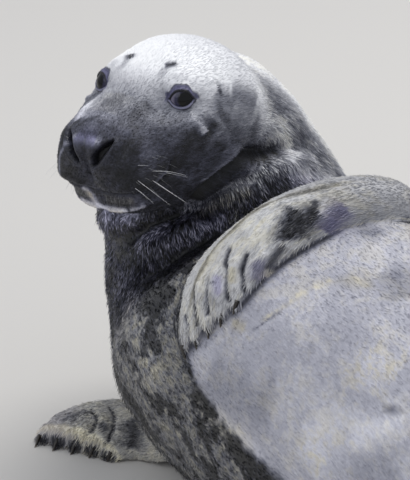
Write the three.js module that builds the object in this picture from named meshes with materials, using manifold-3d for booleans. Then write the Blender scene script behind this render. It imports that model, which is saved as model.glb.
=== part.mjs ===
// A grey seal, adult female, life size: a still model that lies on its right side and back with
// its chest curled up, its neck raised and its head turned round to look over its belly.
// Millimetres. +Z is up from the floor, +X runs towards the tail and the belly faces -Y.
import * as THREE from "three";
import Module from "manifold-3d";
import { mergeVertices } from "three/addons/utils/BufferGeometryUtils.js";

const wasm = await Module();
wasm.setup();

const { abs, cos, floor, max, min, PI, sin, sqrt } = Math;
const rad = THREE.MathUtils.degToRad;
const mix = THREE.MathUtils.lerp;
const V = (x, y, z) => new THREE.Vector3(x, y, z);

// ---- sizes ---------------------------------------------------------------------------------

const gap = 0.5; // between neighbouring pieces
const floorRoll = 16; // how softly the flesh rolls up from the floor
const floorSink = 3;

// The head is rigid: the place of its nose tip and how it is turned, in degrees.
const headPose = { nose: V(18, -234, 458), turn: 112, tilt: 4 };

// Sections of the head: distance behind the nose tip, half width, height above and depth below
// the axis, how much narrower the top is than the bottom, and how square the section is.
const headSections = [
  { s: 0, wide: 41, up: 25, down: 48, taper: 0.2, square: 2.3 },
  { s: 30, wide: 59, up: 34, down: 82, taper: 0.24, square: 2.3 },
  { s: 60, wide: 67, up: 45, down: 96, taper: 0.24, square: 2.25 },
  { s: 90, wide: 79, up: 57, down: 102, taper: 0.16, square: 2.25 },
  { s: 120, wide: 87, up: 71, down: 106, taper: 0.08, square: 2.25 },
  { s: 150, wide: 93, up: 80, down: 108, taper: 0.04, square: 2.2 },
  { s: 180, wide: 98, up: 84, down: 108, taper: 0.02, square: 2.15 },
  { s: 210, wide: 100, up: 81, down: 106, taper: 0, square: 2.1 },
  { s: 240, wide: 98, up: 74, down: 102, taper: 0, square: 2 },
  { s: 275, wide: 92, up: 62, down: 94, taper: 0, square: 2 },
];
const headLength = 275;
const noseRound = 34; // length of the rounded nose end
const napeRound = 70; // length of the rounded back of the head

// Bumps and hollows of the head, in its own axes: place, reach each way, and how the skin moves.
const headBumps = [
  { at: [36, -26, 28], reach: [26, 26, 34], move: [9, -3, -5], both: true }, // whisker pads
  { at: [0, -30, 0], reach: [9, 30, 30], move: [0, 0, 5] }, // groove between them
  { at: [60, 62, 112], reach: [26, 22, 30], move: [3, 6, -2], both: true }, // brows
  { at: [74, 30, 98], reach: [18, 20, 20], move: [-3, 0, 1], both: true }, // eye hollows
  { at: [64, 40, 104], reach: [20, 17, 20], move: [-4, -1, 4.5], both: true }, // eye sockets
  { at: [72, -4, 108], reach: [34, 36, 44], move: [6, 0, 0], both: true }, // cheeks
];
const eye = { radius: 19, at: V(52, 37, 121.5) };

// Stations of the neck and trunk: distance behind the nose along the body, centre of the section,
// the way the body runs on there, the way its back faces, half width, height to the back and
// depth to the belly.
const bodyStations = [
  { s: 215, at: [-62, -70, 450], run: [-0.3, 0.62, -0.72],
    back: [-0.35, 0.3, 0.9], wide: 98, up: 80, down: 70 },
  { s: 270, at: [-84, -30, 425], run: [-0.2, 0.52, -0.83],
    back: [-0.35, 0.75, 0.55], wide: 114, up: 108, down: 92 },
  { s: 340, at: [-91, -7, 368], run: [0.02, 0.3, -0.95],
    back: [-0.35, 0.93, 0.1], wide: 134, up: 136, down: 114 },
  { s: 420, at: [-74, 3, 303], run: [0.36, 0.1, -0.92],
    back: [-0.4, 0.9, -0.2], wide: 155, up: 160, down: 132 },
  { s: 500, at: [-36, 8, 249], run: [0.68, 0.03, -0.73],
    back: [-0.42, 0.8, -0.42], wide: 181, up: 180, down: 152 },
  { s: 600, at: [34, 5, 212], run: [0.9, 0.02, -0.43],
    back: [-0.3, 0.78, -0.55], wide: 209, up: 192, down: 182 },
  { s: 750, at: [180, 12, 194], run: [0.99, 0.05, -0.12],
    back: [-0.1, 0.83, -0.55], wide: 222, up: 198, down: 200 },
  { s: 950, at: [378, 18, 188], run: [1, 0.01, -0.05],
    back: [0, 0.87, -0.5], wide: 218, up: 196, down: 208 },
  { s: 1160, at: [588, 16, 174], run: [1, -0.03, -0.1],
    back: [0, 0.92, -0.38], wide: 204, up: 184, down: 194 },
  { s: 1370, at: [798, 6, 144], run: [0.98, -0.07, -0.17],
    back: [0, 0.97, -0.24], wide: 168, up: 154, down: 158 },
  { s: 1580, at: [1007, -12, 104], run: [0.97, -0.1, -0.2],
    back: [0, 1, -0.12], wide: 116, up: 112, down: 110 },
  { s: 1720, at: [1146, -26, 76], run: [0.97, -0.1, -0.2],
    back: [0, 1, -0.05], wide: 76, up: 78, down: 74 },
  { s: 1800, at: [1226, -34, 60], run: [0.97, -0.1, -0.2],
    back: [0, 1, 0], wide: 52, up: 58, down: 54 },
  { s: 1840, at: [1264, -38, 52], run: [0.97, -0.1, -0.2],
    back: [0, 1, 0], wide: 26, up: 30, down: 28 },
];
// The fold where the neck meets the chest on the side it bends to, and the swell of the throat.
const folds = [
  { s: 515, angle: rad(126), depth: 16, length: 45, round: rad(60) },
  { s: 372, angle: rad(215), depth: -17, length: 38, round: rad(38) },
];
// Where the body is divided, and how finely each length is made.
const lengths = {
  neck: { from: 215, to: 470, rings: 11, around: 34 },
  chest: { from: 470, to: 720, rings: 9, around: 34 },
  belly: { from: 720, to: 1190, rings: 11, around: 34 },
  rump: { from: 1190, to: 1840, rings: 14, around: 28 },
};

// The left fore flipper lies across the belly. From its root to its tips: the angle round the
// body runs on from root, and lead and trail are where its two edges lie along the body.
const leftFore = {
  root: 100,
  reach: { lead: 99, trail: 71 },
  rows: [
    { s: 0, lead: 744, trail: 824, thick: -3 },
    { s: 0.13, lead: 718, trail: 818, thick: 29 },
    { s: 0.3, lead: 665, trail: 804, thick: 39 },
    { s: 0.43, lead: 620, trail: 792, thick: 42 },
    { s: 0.57, lead: 590, trail: 778, thick: 41 },
    { s: 0.7, lead: 594, trail: 766, thick: 32 },
    { s: 0.83, lead: 620, trail: 760, thick: 23 },
    { s: 0.91, lead: 654, trail: 758, thick: 15 },
    { s: 1, lead: 698, trail: 756, thick: 7 },
  ],
};

// The flippers that lie flat: the paths of their two edges, and the heights of their two faces.
const rightFore = [
  { s: 0, lead: [-20, -20], trail: [40, -90], top: 90, under: 30 },
  { s: 0.25, lead: [-85, -60], trail: [5, -112], top: 68, under: 12 },
  { s: 0.45, lead: [-132, -92], trail: [-22, -126], top: 52, under: 2 },
  { s: 0.65, lead: [-168, -138], trail: [-38, -136], top: 44, under: 0 },
  { s: 0.85, lead: [-170, -190], trail: [-43, -146], top: 35, under: 0 },
  { s: 0.93, lead: [-162, -212], trail: [-45, -152], top: 31, under: 0 },
  { s: 1, lead: [-150, -228], trail: [-47, -158], top: 12, under: 0 },
];
const rightHind = [
  { s: 0, lead: [1190, -72], trail: [1190, -4], top: 46, under: 6 },
  { s: 0.2, lead: [1262, -84], trail: [1262, -4], top: 44, under: 0 },
  { s: 0.4, lead: [1330, -98], trail: [1325, 14], top: 34, under: 0 },
  { s: 0.7, lead: [1425, -118], trail: [1412, 32], top: 22, under: 0 },
  { s: 1, lead: [1520, -140], trail: [1500, 52], top: 9, under: 0 },
];
const leftHind = [
  { s: 0, lead: [1190, -82], trail: [1190, -12], top: 100, under: 58 },
  { s: 0.2, lead: [1260, -104], trail: [1264, -24], top: 94, under: 54 },
  { s: 0.4, lead: [1322, -132], trail: [1334, -22], top: 80, under: 50 },
  { s: 0.7, lead: [1406, -174], trail: [1430, -26], top: 56, under: 36 },
  { s: 1, lead: [1486, -222], trail: [1524, -28], top: 33, under: 25 },
];
const digits = 5;
const foreClaw = { length: 15, radius: 3.8, droop: 6, inside: 5 };
const hindClaw = { length: 9, radius: 2.6, droop: 2, inside: 4 };

const tail = { root: V(1200, 18, 62), tip: V(1318, 62, 34), wide: 29, high: 19 };

// ---- smooth tracks through keyed rows ----------------------------------------------------

// A cubic through the rows' values of one key, with slopes taken across the neighbours.
function track(rows, key) {
  const s = rows.map((row) => row.s);
  const value = rows.map((row) => row[key]);
  const last = rows.length - 1;
  const slope = value.map((_, i) => {
    const a = max(i - 1, 0);
    const b = min(i + 1, last);
    return (value[b] - value[a]) / (s[b] - s[a]);
  });
  return (x) => {
    let i = 0;
    while (i < last - 1 && x > s[i + 1]) i += 1;
    const h = s[i + 1] - s[i];
    const t = (x - s[i]) / h;
    if (t < 0) return value[0] + slope[0] * (x - s[0]);
    if (t > 1) return value[last] + slope[last] * (x - s[last]);
    const u = 1 - t;
    return (
      value[i] * u * u * (1 + 2 * t) + slope[i] * h * t * u * u +
      value[i + 1] * t * t * (3 - 2 * t) - slope[i + 1] * h * t * t * u
    );
  };
}

// The same for a row's list of numbers.
function listTrack(rows, key) {
  const parts = rows[0][key].map((_, axis) =>
    track(rows.map((row) => ({ s: row.s, v: row[key][axis] })), "v"));
  return (s) => parts.map((part) => part(s));
}

const power = (x, n) => Math.sign(x) * abs(x) ** n;
const steps = (from, to, count) =>
  Array.from({ length: count + 1 }, (_, i) => mix(from, to, i / count));
const turnAngles = (around) => steps(0, 2 * PI, around).slice(0, -1);

// ---- closed solids from rings of points ---------------------------------------------------

// Rings of the same number of points, joined by quads. Each end is closed by a fan, or zipped
// where the ring is a flat one: its first half is the upper face and its second the lower.
function ringSolid(rings, { zipped = false } = {}) {
  const n = rings[0].length;
  const middle = (ring) =>
    ring.reduce((sum, p) => sum.add(p), V(0, 0, 0)).divideScalar(n);
  const points = [...rings.flat(), middle(rings[0]), middle(rings[rings.length - 1])];
  const centre = points.length - 2;
  const end = (rings.length - 1) * n;
  const faces = [];
  for (let j = 0; j < n; j += 1) {
    const k = (j + 1) % n;
    for (let i = 0; i < rings.length - 1; i += 1) {
      const a = i * n;
      const b = a + n;
      faces.push(a + j, a + k, b + k, a + j, b + k, b + j);
    }
    faces.push(centre, k, j);
    if (!zipped) faces.push(centre + 1, end + j, end + k);
  }
  if (zipped)
    for (let j = 0; j < n / 2 - 1; j += 1) {
      const [a, b, c, d] = [end + j, end + j + 1, end + n - 2 - j, end + n - 1 - j];
      faces.push(a, b, c, a, c, d);
    }
  const geometry = new THREE.BufferGeometry().setFromPoints(points);
  geometry.setIndex(faces);
  return solidOf(geometry);
}

// A closed geometry as a solid, turned so that its faces point out.
function solidOf(geometry) {
  for (const name of Object.keys(geometry.attributes))
    if (name !== "position") geometry.deleteAttribute(name);
  const merged = mergeVertices(geometry, 1e-3);
  const index = [];
  for (let i = 0; i < merged.index.array.length; i += 3) {
    const [a, b, c] = merged.index.array.slice(i, i + 3);
    if (a !== b && b !== c && a !== c) index.push(a, b, c);
  }
  const make = (triangles) =>
    new wasm.Manifold(new wasm.Mesh({
      numProp: 3,
      vertProperties: merged.attributes.position.array,
      triVerts: new Uint32Array(triangles),
    }));
  const solid = make(index);
  return solid.volume() < 0 ? make(index.reverse()) : solid;
}

// What is left of a solid after a cut, without the chips.
function cut(solid, room) {
  const pieces = solid.subtract(room).decompose();
  return pieces.reduce((best, piece) => (piece.volume() > best.volume() ? piece : best));
}

function geometryOf(solid) {
  const mesh = solid.getMesh();
  const points = new THREE.BufferAttribute(mesh.vertProperties, mesh.numProp);
  const geometry = new THREE.BufferGeometry().setAttribute("position", points);
  geometry.setIndex(new THREE.BufferAttribute(mesh.triVerts, 1));
  return geometry;
}

// ---- neck and trunk -------------------------------------------------------------------------

const centreAt = listTrack(bodyStations, "at");
const runAt = listTrack(bodyStations, "run");
const backAt = listTrack(bodyStations, "back");
const wideAt = track(bodyStations, "wide");
const upAt = track(bodyStations, "up");
const downAt = track(bodyStations, "down");

// Axes of the section at s: to the back and to the seal's left.
function bodyFrame(s) {
  const forward = V(...runAt(s)).normalize().negate();
  const back = V(...backAt(s));
  back.addScaledVector(forward, -back.dot(forward)).normalize();
  return { back, left: back.clone().cross(forward) };
}

// A point of the skin. The angle is 0 along the back, 90 on the left side, 180 on the belly.
// Flesh that would sink into the floor spreads on it and lies flat there.
function bodyPoint(s, angle, grow = 0) {
  const { back, left } = bodyFrame(s);
  let swell = grow;
  for (const fold of folds) {
    const away = ((s - fold.s) / fold.length) ** 2 + ((angle - fold.angle) / fold.round) ** 2;
    swell -= fold.depth * Math.exp(-away);
  }
  const high = (cos(angle) > 0 ? upAt(s) : downAt(s)) + swell;
  const p = V(...centreAt(s));
  p.addScaledVector(back, high * cos(angle));
  p.addScaledVector(left, (wideAt(s) + swell) * sin(angle));
  p.z = max(0, (p.z + sqrt(p.z * p.z + floorRoll * floorRoll)) / 2 - floorSink);
  return p;
}

// One length of the body, a little short of its neighbours, or grown to be the room it needs.
function bodySolid({ from, to, rings, around }, grow = 0) {
  const ends = grow > 0 ? 0 : gap / 2;
  return ringSolid(steps(from + ends, to - ends, rings).map((s) =>
    turnAngles(around).map((angle) => bodyPoint(s, angle, grow))));
}

// ---- head --------------------------------------------------------------------------------------

const headTracks = Object.fromEntries(
  ["wide", "up", "down", "taper", "square"].map((key) => [key, track(headSections, key)]));

// The head's own axes: x to its left, y up to the crown, z back from the nose.
function headMatrix() {
  const turn = rad(headPose.turn);
  const forward = V(-cos(turn), -sin(turn), 0);
  const up = V(0, 0, 1).applyAxisAngle(forward, rad(headPose.tilt));
  const left = up.clone().cross(forward);
  const matrix = new THREE.Matrix4().makeBasis(left, up, forward.negate());
  return matrix.setPosition(headPose.nose);
}
const placeHead = headMatrix();

function headPoint(s, angle, grow = 0) {
  const t = Object.fromEntries(Object.entries(headTracks).map(([key, at]) => [key, at(s)]));
  const nose = s < noseRound ? sqrt(max(0, 1 - (1 - s / noseRound) ** 2)) : 1;
  const behind = s - headLength + napeRound;
  const nape = behind > 0 ? sqrt(max(0, 1 - (behind / napeRound) ** 2)) : 1;
  const p = V(
    (t.wide + grow) * power(sin(angle), 2 / t.square) * (1 - t.taper * cos(angle)),
    ((cos(angle) > 0 ? t.up : t.down) + grow) * power(cos(angle), 2 / t.square),
    0,
  ).multiplyScalar(nose * nape);
  p.z = s;
  for (const bump of headBumps)
    for (const side of bump.both ? [1, -1] : [1]) {
      const d = V(p.x * side, p.y, p.z).sub(V(...bump.at)).divide(V(...bump.reach));
      const share = Math.exp(-d.lengthSq());
      p.add(V(bump.move[0] * side, bump.move[1], bump.move[2]).multiplyScalar(share));
    }
  return p.applyMatrix4(placeHead);
}

function headSolid(grow = 0) {
  const around = 36;
  const endRings = 5;
  const tip = 0.3; // the end rings stop just short of a point
  const quarter = steps(0, PI / 2, endRings);
  const straightEnd = headLength - napeRound;
  const along = [
    ...quarter.map((a) => max(tip, noseRound * (1 - cos(a)))),
    ...steps(noseRound, straightEnd, 13).slice(1, -1),
    ...quarter.map((a) => min(headLength - tip, straightEnd + napeRound * sin(a))),
  ];
  return ringSolid(along.map((s) => turnAngles(around).map((angle) => headPoint(s, angle, grow))));
}

// ---- flippers -------------------------------------------------------------------------------------

// A flipper is a flat loft. place(u, v, h) gives a point: u runs 0 to 1 from root to tips, v
// -1 to 1 from the leading edge across, and h 0 to 1 from the lower face to the upper one.
function flipperSolid(place, { rows = 10, perDigit = 3, bay = 0.07, grow = 0 } = {}) {
  const across = steps(-1, 1, digits * perDigit);
  const faces = [1, 0];
  return ringSolid(steps(0, 1, rows).map((u) =>
    faces.flatMap((upper) => (upper ? across : across.toReversed()).map((v) => {
      const digit = ((v + 1) / 2) * digits;
      const round = sqrt(max(0, 1 - (2 * (digit - floor(digit + 1e-6)) - 1) ** 2));
      const edge = (1 - v * v) ** 0.4;
      const swell = edge * (1 - 0.16 * (1 - round) * u * u);
      const reach = 1 - bay * (1 - round);
      return place(u * reach, v * (1 + grow * 0.02), upper ? swell : 0, upper ? grow : -grow);
    }))), { zipped: true });
}

function leftForePlace(u, v, h, grow) {
  const row = Object.fromEntries(
    ["lead", "trail", "thick"].map((key) => [key, leftForeTracks[key](u)]));
  const share = (v + 1) / 2;
  const angle = leftFore.root + u * mix(leftFore.reach.lead, leftFore.reach.trail, share);
  const sunk = -6; // the lower face starts inside the body, which trims it
  return bodyPoint(mix(row.lead, row.trail, share), rad(angle), mix(sunk, row.thick, h) + grow);
}
const leftForeTracks = Object.fromEntries(
  ["lead", "trail", "thick"].map((key) => [key, track(leftFore.rows, key)]));

// Places points of a flipper that lies flat, from its rows.
function flatPlace(rows) {
  const [lead, trail] = [listTrack(rows, "lead"), listTrack(rows, "trail")];
  const [top, under] = [track(rows, "top"), track(rows, "under")];
  return (u, v, h, grow) => {
    const [a, b] = [lead(u), trail(u)];
    const share = (v + 1) / 2;
    const low = max(0, under(u));
    const z = h > 0 ? mix(low, top(u), max(h, 0.3)) : low;
    return V(mix(a[0], b[0], share), mix(a[1], b[1], share), max(0, z + grow));
  };
}

// A curved claw at the tip of each digit: a bent cone that droops towards the lower face.
function clawSolid(place, digit, size) {
  const v = ((digit + 0.5) / digits) * 2 - 1;
  const height = 0.62;
  const root = place(1, v, height, 0);
  const ahead = root.clone().sub(place(0.93, v, height, 0)).normalize();
  const up = place(1, v, 1, 0).sub(place(1, v, 0, 0)).normalize();
  up.addScaledVector(ahead, -up.dot(ahead)).normalize();
  const side = ahead.clone().cross(up);
  const around = 5;
  return ringSolid(steps(0, 1, 2).map((t) => {
    const radius = size.radius * (1 - 0.9 * t ** 1.4);
    const centre = root.clone()
      .addScaledVector(ahead, mix(-size.inside, size.length, t))
      .addScaledVector(up, -size.droop * t * t);
    centre.z = max(centre.z, radius + 0.2);
    return turnAngles(around).map((angle) => centre.clone()
      .addScaledVector(side, 0.75 * radius * cos(angle))
      .addScaledVector(up, radius * sin(angle)));
  }));
}

function tailSolid(grow = 0) {
  const [along, around] = [6, 14];
  const ahead = tail.tip.clone().sub(tail.root);
  return ringSolid(steps(0, 1, along).map((t) => {
    const round = sqrt(max(0.0004, 1 - t ** 3));
    return turnAngles(around).map((angle) => tail.root.clone()
      .addScaledVector(ahead, t)
      .add(V(0, (tail.wide + grow) * cos(angle), (tail.high + grow) * sin(angle))
        .multiplyScalar(round)));
  }));
}

// ---- assembly --------------------------------------------------------------------------------

const colours = { coat: 0x6d6c66, belly: 0xa5a3a6, flipper: 0x9a9384, claw: 0x2b2622, eye: 0x0b0a0a };
const seal = new THREE.Group();

function addNode(name, solid, colour, roughness = 0.75) {
  const material = new THREE.MeshStandardMaterial({ color: colour, roughness, metalness: 0 });
  const mesh = new THREE.Mesh(geometryOf(solid), material);
  mesh.name = name;
  seal.add(mesh);
}

function addHeadAndEyes() {
  let head = headSolid();
  for (const [name, side] of [["eye_left", 1], ["eye_right", -1]]) {
    const ball = (radius) => {
      const geometry = new THREE.SphereGeometry(radius, 12, 8);
      const centre = V(eye.at.x * side, eye.at.y, eye.at.z).applyMatrix4(placeHead);
      return solidOf(geometry.translate(centre.x, centre.y, centre.z));
    };
    addNode(name, ball(eye.radius), colours.eye, 0.1);
    head = cut(head, ball(eye.radius + gap));
  }
  addNode("head", head, colours.coat);
}

function addBody() {
  for (const [name, length] of Object.entries(lengths)) {
    const colour = name === "belly" ? colours.belly : colours.coat;
    const solid = bodySolid(length);
    addNode(name, name === "neck" ? cut(solid, headSolid(gap)) : solid, colour);
  }
}

// Adds a flipper trimmed by the flesh round its root, and its claws trimmed by the flipper.
function addFlipper(name, place, room, claw, options) {
  const flipper = cut(flipperSolid(place, options), room);
  const trim = flipperSolid(place, { ...options, bay: 0, grow: gap });
  addNode(`${name}_flipper`, flipper, colours.flipper);
  for (let digit = 0; digit < digits; digit += 1) {
    const solid = clawSolid(place, digit, claw).subtract(room);
    addNode(`${name}_claw_${digit + 1}`, cut(solid, trim), colours.claw, 0.4);
  }
}

function addFlippersAndTail() {
  const chestRoom = bodySolid(lengths.neck, gap).add(bodySolid(lengths.chest, gap))
    .add(bodySolid(lengths.belly, gap));
  const rumpRoom = bodySolid({ ...lengths.rump, to: lengths.rump.to + gap }, gap);
  const hindRoom = rumpRoom.add(tailSolid(gap));
  addFlipper("left_fore", leftForePlace, chestRoom, foreClaw, {});
  addFlipper("right_fore", flatPlace(rightFore), chestRoom, foreClaw, {});
  const hind = { rows: 6, bay: 0.08 };
  addFlipper("left_hind", flatPlace(leftHind), hindRoom, hindClaw, hind);
  addFlipper("right_hind", flatPlace(rightHind), hindRoom, hindClaw, hind);
  addNode("tail", cut(tailSolid(), rumpRoom), colours.coat);
}

addHeadAndEyes();
addBody();
addFlippersAndTail();

// The origin is under the middle of the whole seal, on the floor.
const box = new THREE.Box3().setFromObject(seal);
const middle = box.getCenter(V(0, 0, 0));
seal.position.set(-middle.x, -middle.y, -box.min.z);

export default seal;
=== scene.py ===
import math
import bmesh
import bpy
import numpy as np
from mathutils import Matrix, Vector
from mathutils.bvhtree import BVHTree


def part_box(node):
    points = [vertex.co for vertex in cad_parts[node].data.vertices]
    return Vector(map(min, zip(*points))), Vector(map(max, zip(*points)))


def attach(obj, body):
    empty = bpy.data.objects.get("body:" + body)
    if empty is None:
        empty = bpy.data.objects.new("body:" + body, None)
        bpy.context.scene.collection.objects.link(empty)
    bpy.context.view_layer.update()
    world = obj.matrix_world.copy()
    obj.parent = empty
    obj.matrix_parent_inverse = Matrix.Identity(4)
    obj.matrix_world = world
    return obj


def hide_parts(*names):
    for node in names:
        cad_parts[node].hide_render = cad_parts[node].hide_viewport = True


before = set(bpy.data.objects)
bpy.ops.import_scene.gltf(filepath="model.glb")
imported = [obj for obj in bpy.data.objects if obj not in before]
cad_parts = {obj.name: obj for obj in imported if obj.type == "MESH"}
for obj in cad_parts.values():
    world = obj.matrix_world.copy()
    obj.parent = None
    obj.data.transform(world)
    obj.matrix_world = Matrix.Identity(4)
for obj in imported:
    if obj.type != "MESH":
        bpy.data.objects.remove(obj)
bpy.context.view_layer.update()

scene = bpy.context.scene
scene.view_settings.view_transform = "Standard"


# the seal's form, in millimetres: the same tables as its solids
headPose = {"nose": (18, -234, 458), "turn": 112, "tilt": 4}
headRows = {  # s: wide, up, down, taper, square
    0: (41, 25, 48, 0.2, 2.3), 30: (59, 34, 82, 0.24, 2.3), 60: (67, 45, 96, 0.24, 2.25),
    90: (79, 57, 102, 0.16, 2.25), 120: (87, 71, 106, 0.08, 2.25), 150: (93, 80, 108, 0.04, 2.2),
    180: (98, 84, 108, 0.02, 2.15), 210: (100, 81, 106, 0, 2.1), 240: (98, 74, 102, 0, 2),
    275: (92, 62, 94, 0, 2),
}
headEnds = {"length": 275, "nose": 34, "nape": 70}
headBumps = [  # place, reach, move, on both sides
    ((36, -26, 28), (26, 26, 34), (9, -3, -5), True),
    ((0, -30, 0), (9, 30, 30), (0, 0, 5), False),
    ((60, 62, 112), (26, 22, 30), (3, 6, -2), True),
    ((74, 30, 98), (18, 20, 20), (-3, 0, 1), True),
    ((64, 40, 104), (20, 17, 20), (-4, -1, 4.5), True),
    ((72, -4, 108), (34, 36, 44), (6, 0, 0), True),
]
bodyRows = {  # s: centre, run, back, (wide, up, down)
    215: ((-62, -70, 450), (-0.3, 0.62, -0.72), (-0.35, 0.3, 0.9), (98, 80, 70)),
    270: ((-84, -30, 425), (-0.2, 0.52, -0.83), (-0.35, 0.75, 0.55), (114, 108, 92)),
    340: ((-91, -7, 368), (0.02, 0.3, -0.95), (-0.35, 0.93, 0.1), (134, 136, 114)),
    420: ((-74, 3, 303), (0.36, 0.1, -0.92), (-0.4, 0.9, -0.2), (155, 160, 132)),
    500: ((-36, 8, 249), (0.68, 0.03, -0.73), (-0.42, 0.8, -0.42), (181, 180, 152)),
    600: ((34, 5, 212), (0.9, 0.02, -0.43), (-0.3, 0.78, -0.55), (209, 192, 182)),
    750: ((180, 12, 194), (0.99, 0.05, -0.12), (-0.1, 0.83, -0.55), (222, 198, 200)),
    950: ((378, 18, 188), (1, 0.01, -0.05), (0, 0.87, -0.5), (218, 196, 208)),
    1160: ((588, 16, 174), (1, -0.03, -0.1), (0, 0.92, -0.38), (204, 184, 194)),
    1370: ((798, 6, 144), (0.98, -0.07, -0.17), (0, 0.97, -0.24), (168, 154, 158)),
    1580: ((1007, -12, 104), (0.97, -0.1, -0.2), (0, 1, -0.12), (116, 112, 110)),
    1720: ((1146, -26, 76), (0.97, -0.1, -0.2), (0, 1, -0.05), (76, 78, 74)),
    1800: ((1226, -34, 60), (0.97, -0.1, -0.2), (0, 1, 0), (52, 58, 54)),
    1840: ((1264, -38, 52), (0.97, -0.1, -0.2), (0, 1, 0), (26, 30, 28)),
}
bodyFolds = [  # s, angle in degrees, depth, length, round in degrees
    (515, 126, 16, 45, 60), (372, 215, -17, 38, 38),
]
floorPress = {"roll": 16, "sink": 3}
leftForeRows = {  # u: lead, trail, thick
    0: (744, 824, -3), 0.13: (718, 818, 29), 0.3: (665, 804, 39), 0.43: (620, 792, 42),
    0.57: (590, 778, 41), 0.7: (594, 766, 32), 0.83: (620, 760, 23), 0.91: (654, 758, 15),
    1: (698, 756, 7),
}
leftForeReach = {"root": 100, "lead": 99, "trail": 71}
flatFlippers = {  # u: leading edge, trailing edge, (top, under)
    "right_fore": {
        0: ((-20, -20), (40, -90), (90, 30)), 0.25: ((-85, -60), (5, -112), (68, 12)),
        0.45: ((-132, -92), (-22, -126), (52, 2)), 0.65: ((-168, -138), (-38, -136), (44, 0)),
        0.85: ((-170, -190), (-43, -146), (35, 0)), 0.93: ((-162, -212), (-45, -152), (31, 0)),
        1: ((-150, -228), (-47, -158), (12, 0)),
    },
    "right_hind": {
        0: ((1190, -72), (1190, -4), (46, 6)), 0.2: ((1262, -84), (1262, -4), (44, 0)),
        0.4: ((1330, -98), (1325, 14), (34, 0)), 0.7: ((1425, -118), (1412, 32), (22, 0)),
        1: ((1520, -140), (1500, 52), (9, 0)),
    },
    "left_hind": {
        0: ((1190, -82), (1190, -12), (100, 58)), 0.2: ((1260, -104), (1264, -24), (94, 54)),
        0.4: ((1322, -132), (1334, -22), (80, 50)), 0.7: ((1406, -174), (1430, -26), (56, 36)),
        1: ((1486, -222), (1524, -28), (33, 25)),
    },
}
tailForm = {"root": (1200, 18, 62), "tip": (1318, 62, 34), "wide": 29, "high": 19}
eyePlace = {"radius": 19, "at": (52, 37, 121.5)}


def track(rows, pick):  # a smooth cubic through one column of a table
    s = np.array(list(rows), float)
    value = np.array([pick(row) for row in rows.values()], float)
    last = len(s) - 1
    low = np.maximum(np.arange(last + 1) - 1, 0)
    high = np.minimum(np.arange(last + 1) + 1, last)
    step = (s[high] - s[low]).reshape(-1, *[1] * (value.ndim - 1))
    slope = (value[high] - value[low]) / step

    def at(x):
        x = np.asarray(x, float)
        i = np.clip(np.searchsorted(s, x) - 1, 0, last - 1)
        grow = (..., *[None] * (value.ndim - 1))
        h = (s[i + 1] - s[i])[grow]
        t = (x - s[i])[grow] / h
        k = np.clip(t, 0, 1)
        m = 1 - k
        inside = (value[i] * m * m * (1 + 2 * k) + slope[i] * h * k * m * m
                  + value[i + 1] * k * k * (3 - 2 * k) - slope[i + 1] * h * k * k * m)
        beyond = np.where(t < 0, slope[i] * h * t, np.where(t > 1, slope[i + 1] * h * (t - 1), 0))
        return inside + beyond
    return at


def unit(v):
    return v / np.maximum(np.linalg.norm(v, axis=-1, keepdims=True), 1e-9)


def signedPower(x, n):
    return np.sign(x) * np.abs(x) ** n


def smoothStep(low, high, x):
    t = np.clip((x - low) / (high - low), 0, 1)
    return t * t * (3 - 2 * t)


def bell(x, wide):
    return np.exp(-(x / wide) ** 2)


def pressOnFloor(p):
    z = p[..., 2]
    p[..., 2] = np.maximum(0, (z + np.sqrt(z * z + floorPress["roll"] ** 2)) / 2 - floorPress["sink"])
    return p


bodyCentre, bodyRun, bodyBack, bodySize = [
    track(bodyRows, lambda row, k=k: row[k]) for k in range(4)]


def bodyFrame(s):  # axes of a section: towards the tail, to the back, to the left
    run = unit(bodyRun(s))
    back = bodyBack(s)
    back = unit(back - run * np.sum(back * run, -1, keepdims=True))
    return run, back, np.cross(back, -run)


def bodyPoint(s, angle, grow=0.0):  # angle: 0 along the back, half a turn on the belly
    _, back, left = bodyFrame(s)
    size = bodySize(s)
    swell = grow
    for at, turned, depth, length, wide in bodyFolds:
        away = ((s - at) / length) ** 2 + ((np.degrees(angle) - turned) / wide) ** 2
        swell = swell - depth * np.exp(-away)
    high = np.where(np.cos(angle) > 0, size[..., 1], size[..., 2]) + swell
    p = bodyCentre(s) + back * (high * np.cos(angle))[..., None] \
        + left * ((size[..., 0] + swell) * np.sin(angle))[..., None]
    return pressOnFloor(p)


headSize = track(headRows, lambda row: row)
turn, tilt = math.radians(headPose["turn"]), math.radians(headPose["tilt"])
headForward = np.array([-math.cos(turn), -math.sin(turn), 0])
headUp = np.array([0, 0, 1]) * math.cos(tilt) + np.cross(headForward, [0, 0, 1]) * math.sin(tilt)
headAxes = np.array([np.cross(headUp, headForward), headUp, -headForward])  # left, crown, nape


def fromHead(p):
    return np.asarray(p, float) @ headAxes + headPose["nose"]


def toHead(p):
    return (np.asarray(p, float) - headPose["nose"]) @ headAxes.T


def headPoint(s, angle, grow=0.0):
    wide, up, down, taper, square = np.moveaxis(headSize(s), -1, 0)
    nose = np.where(s < headEnds["nose"], np.sqrt(np.maximum(0, 1 - (1 - s / headEnds["nose"]) ** 2)), 1)
    behind = s - headEnds["length"] + headEnds["nape"]
    nape = np.where(behind > 0, np.sqrt(np.maximum(0, 1 - (behind / headEnds["nape"]) ** 2)), 1)
    c, d = np.cos(angle), np.sin(angle)
    x = (wide + grow) * signedPower(d, 2 / square) * (1 - taper * c) * nose * nape
    y = (np.where(c > 0, up, down) + grow) * signedPower(c, 2 / square) * nose * nape
    p = np.stack([x, y, s - grow * (1 - 2 * s / headEnds["length"])], -1)
    for at, reach, move, both in headBumps:
        for side in ((1, -1) if both else (1,)):
            d = (p * (side, 1, 1) - at) / reach
            p = p + np.exp(-np.sum(d * d, -1))[..., None] * (np.array(move) * (side, 1, 1))
    return fromHead(p)


leftForeAt = track(leftForeRows, lambda row: row)


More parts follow.
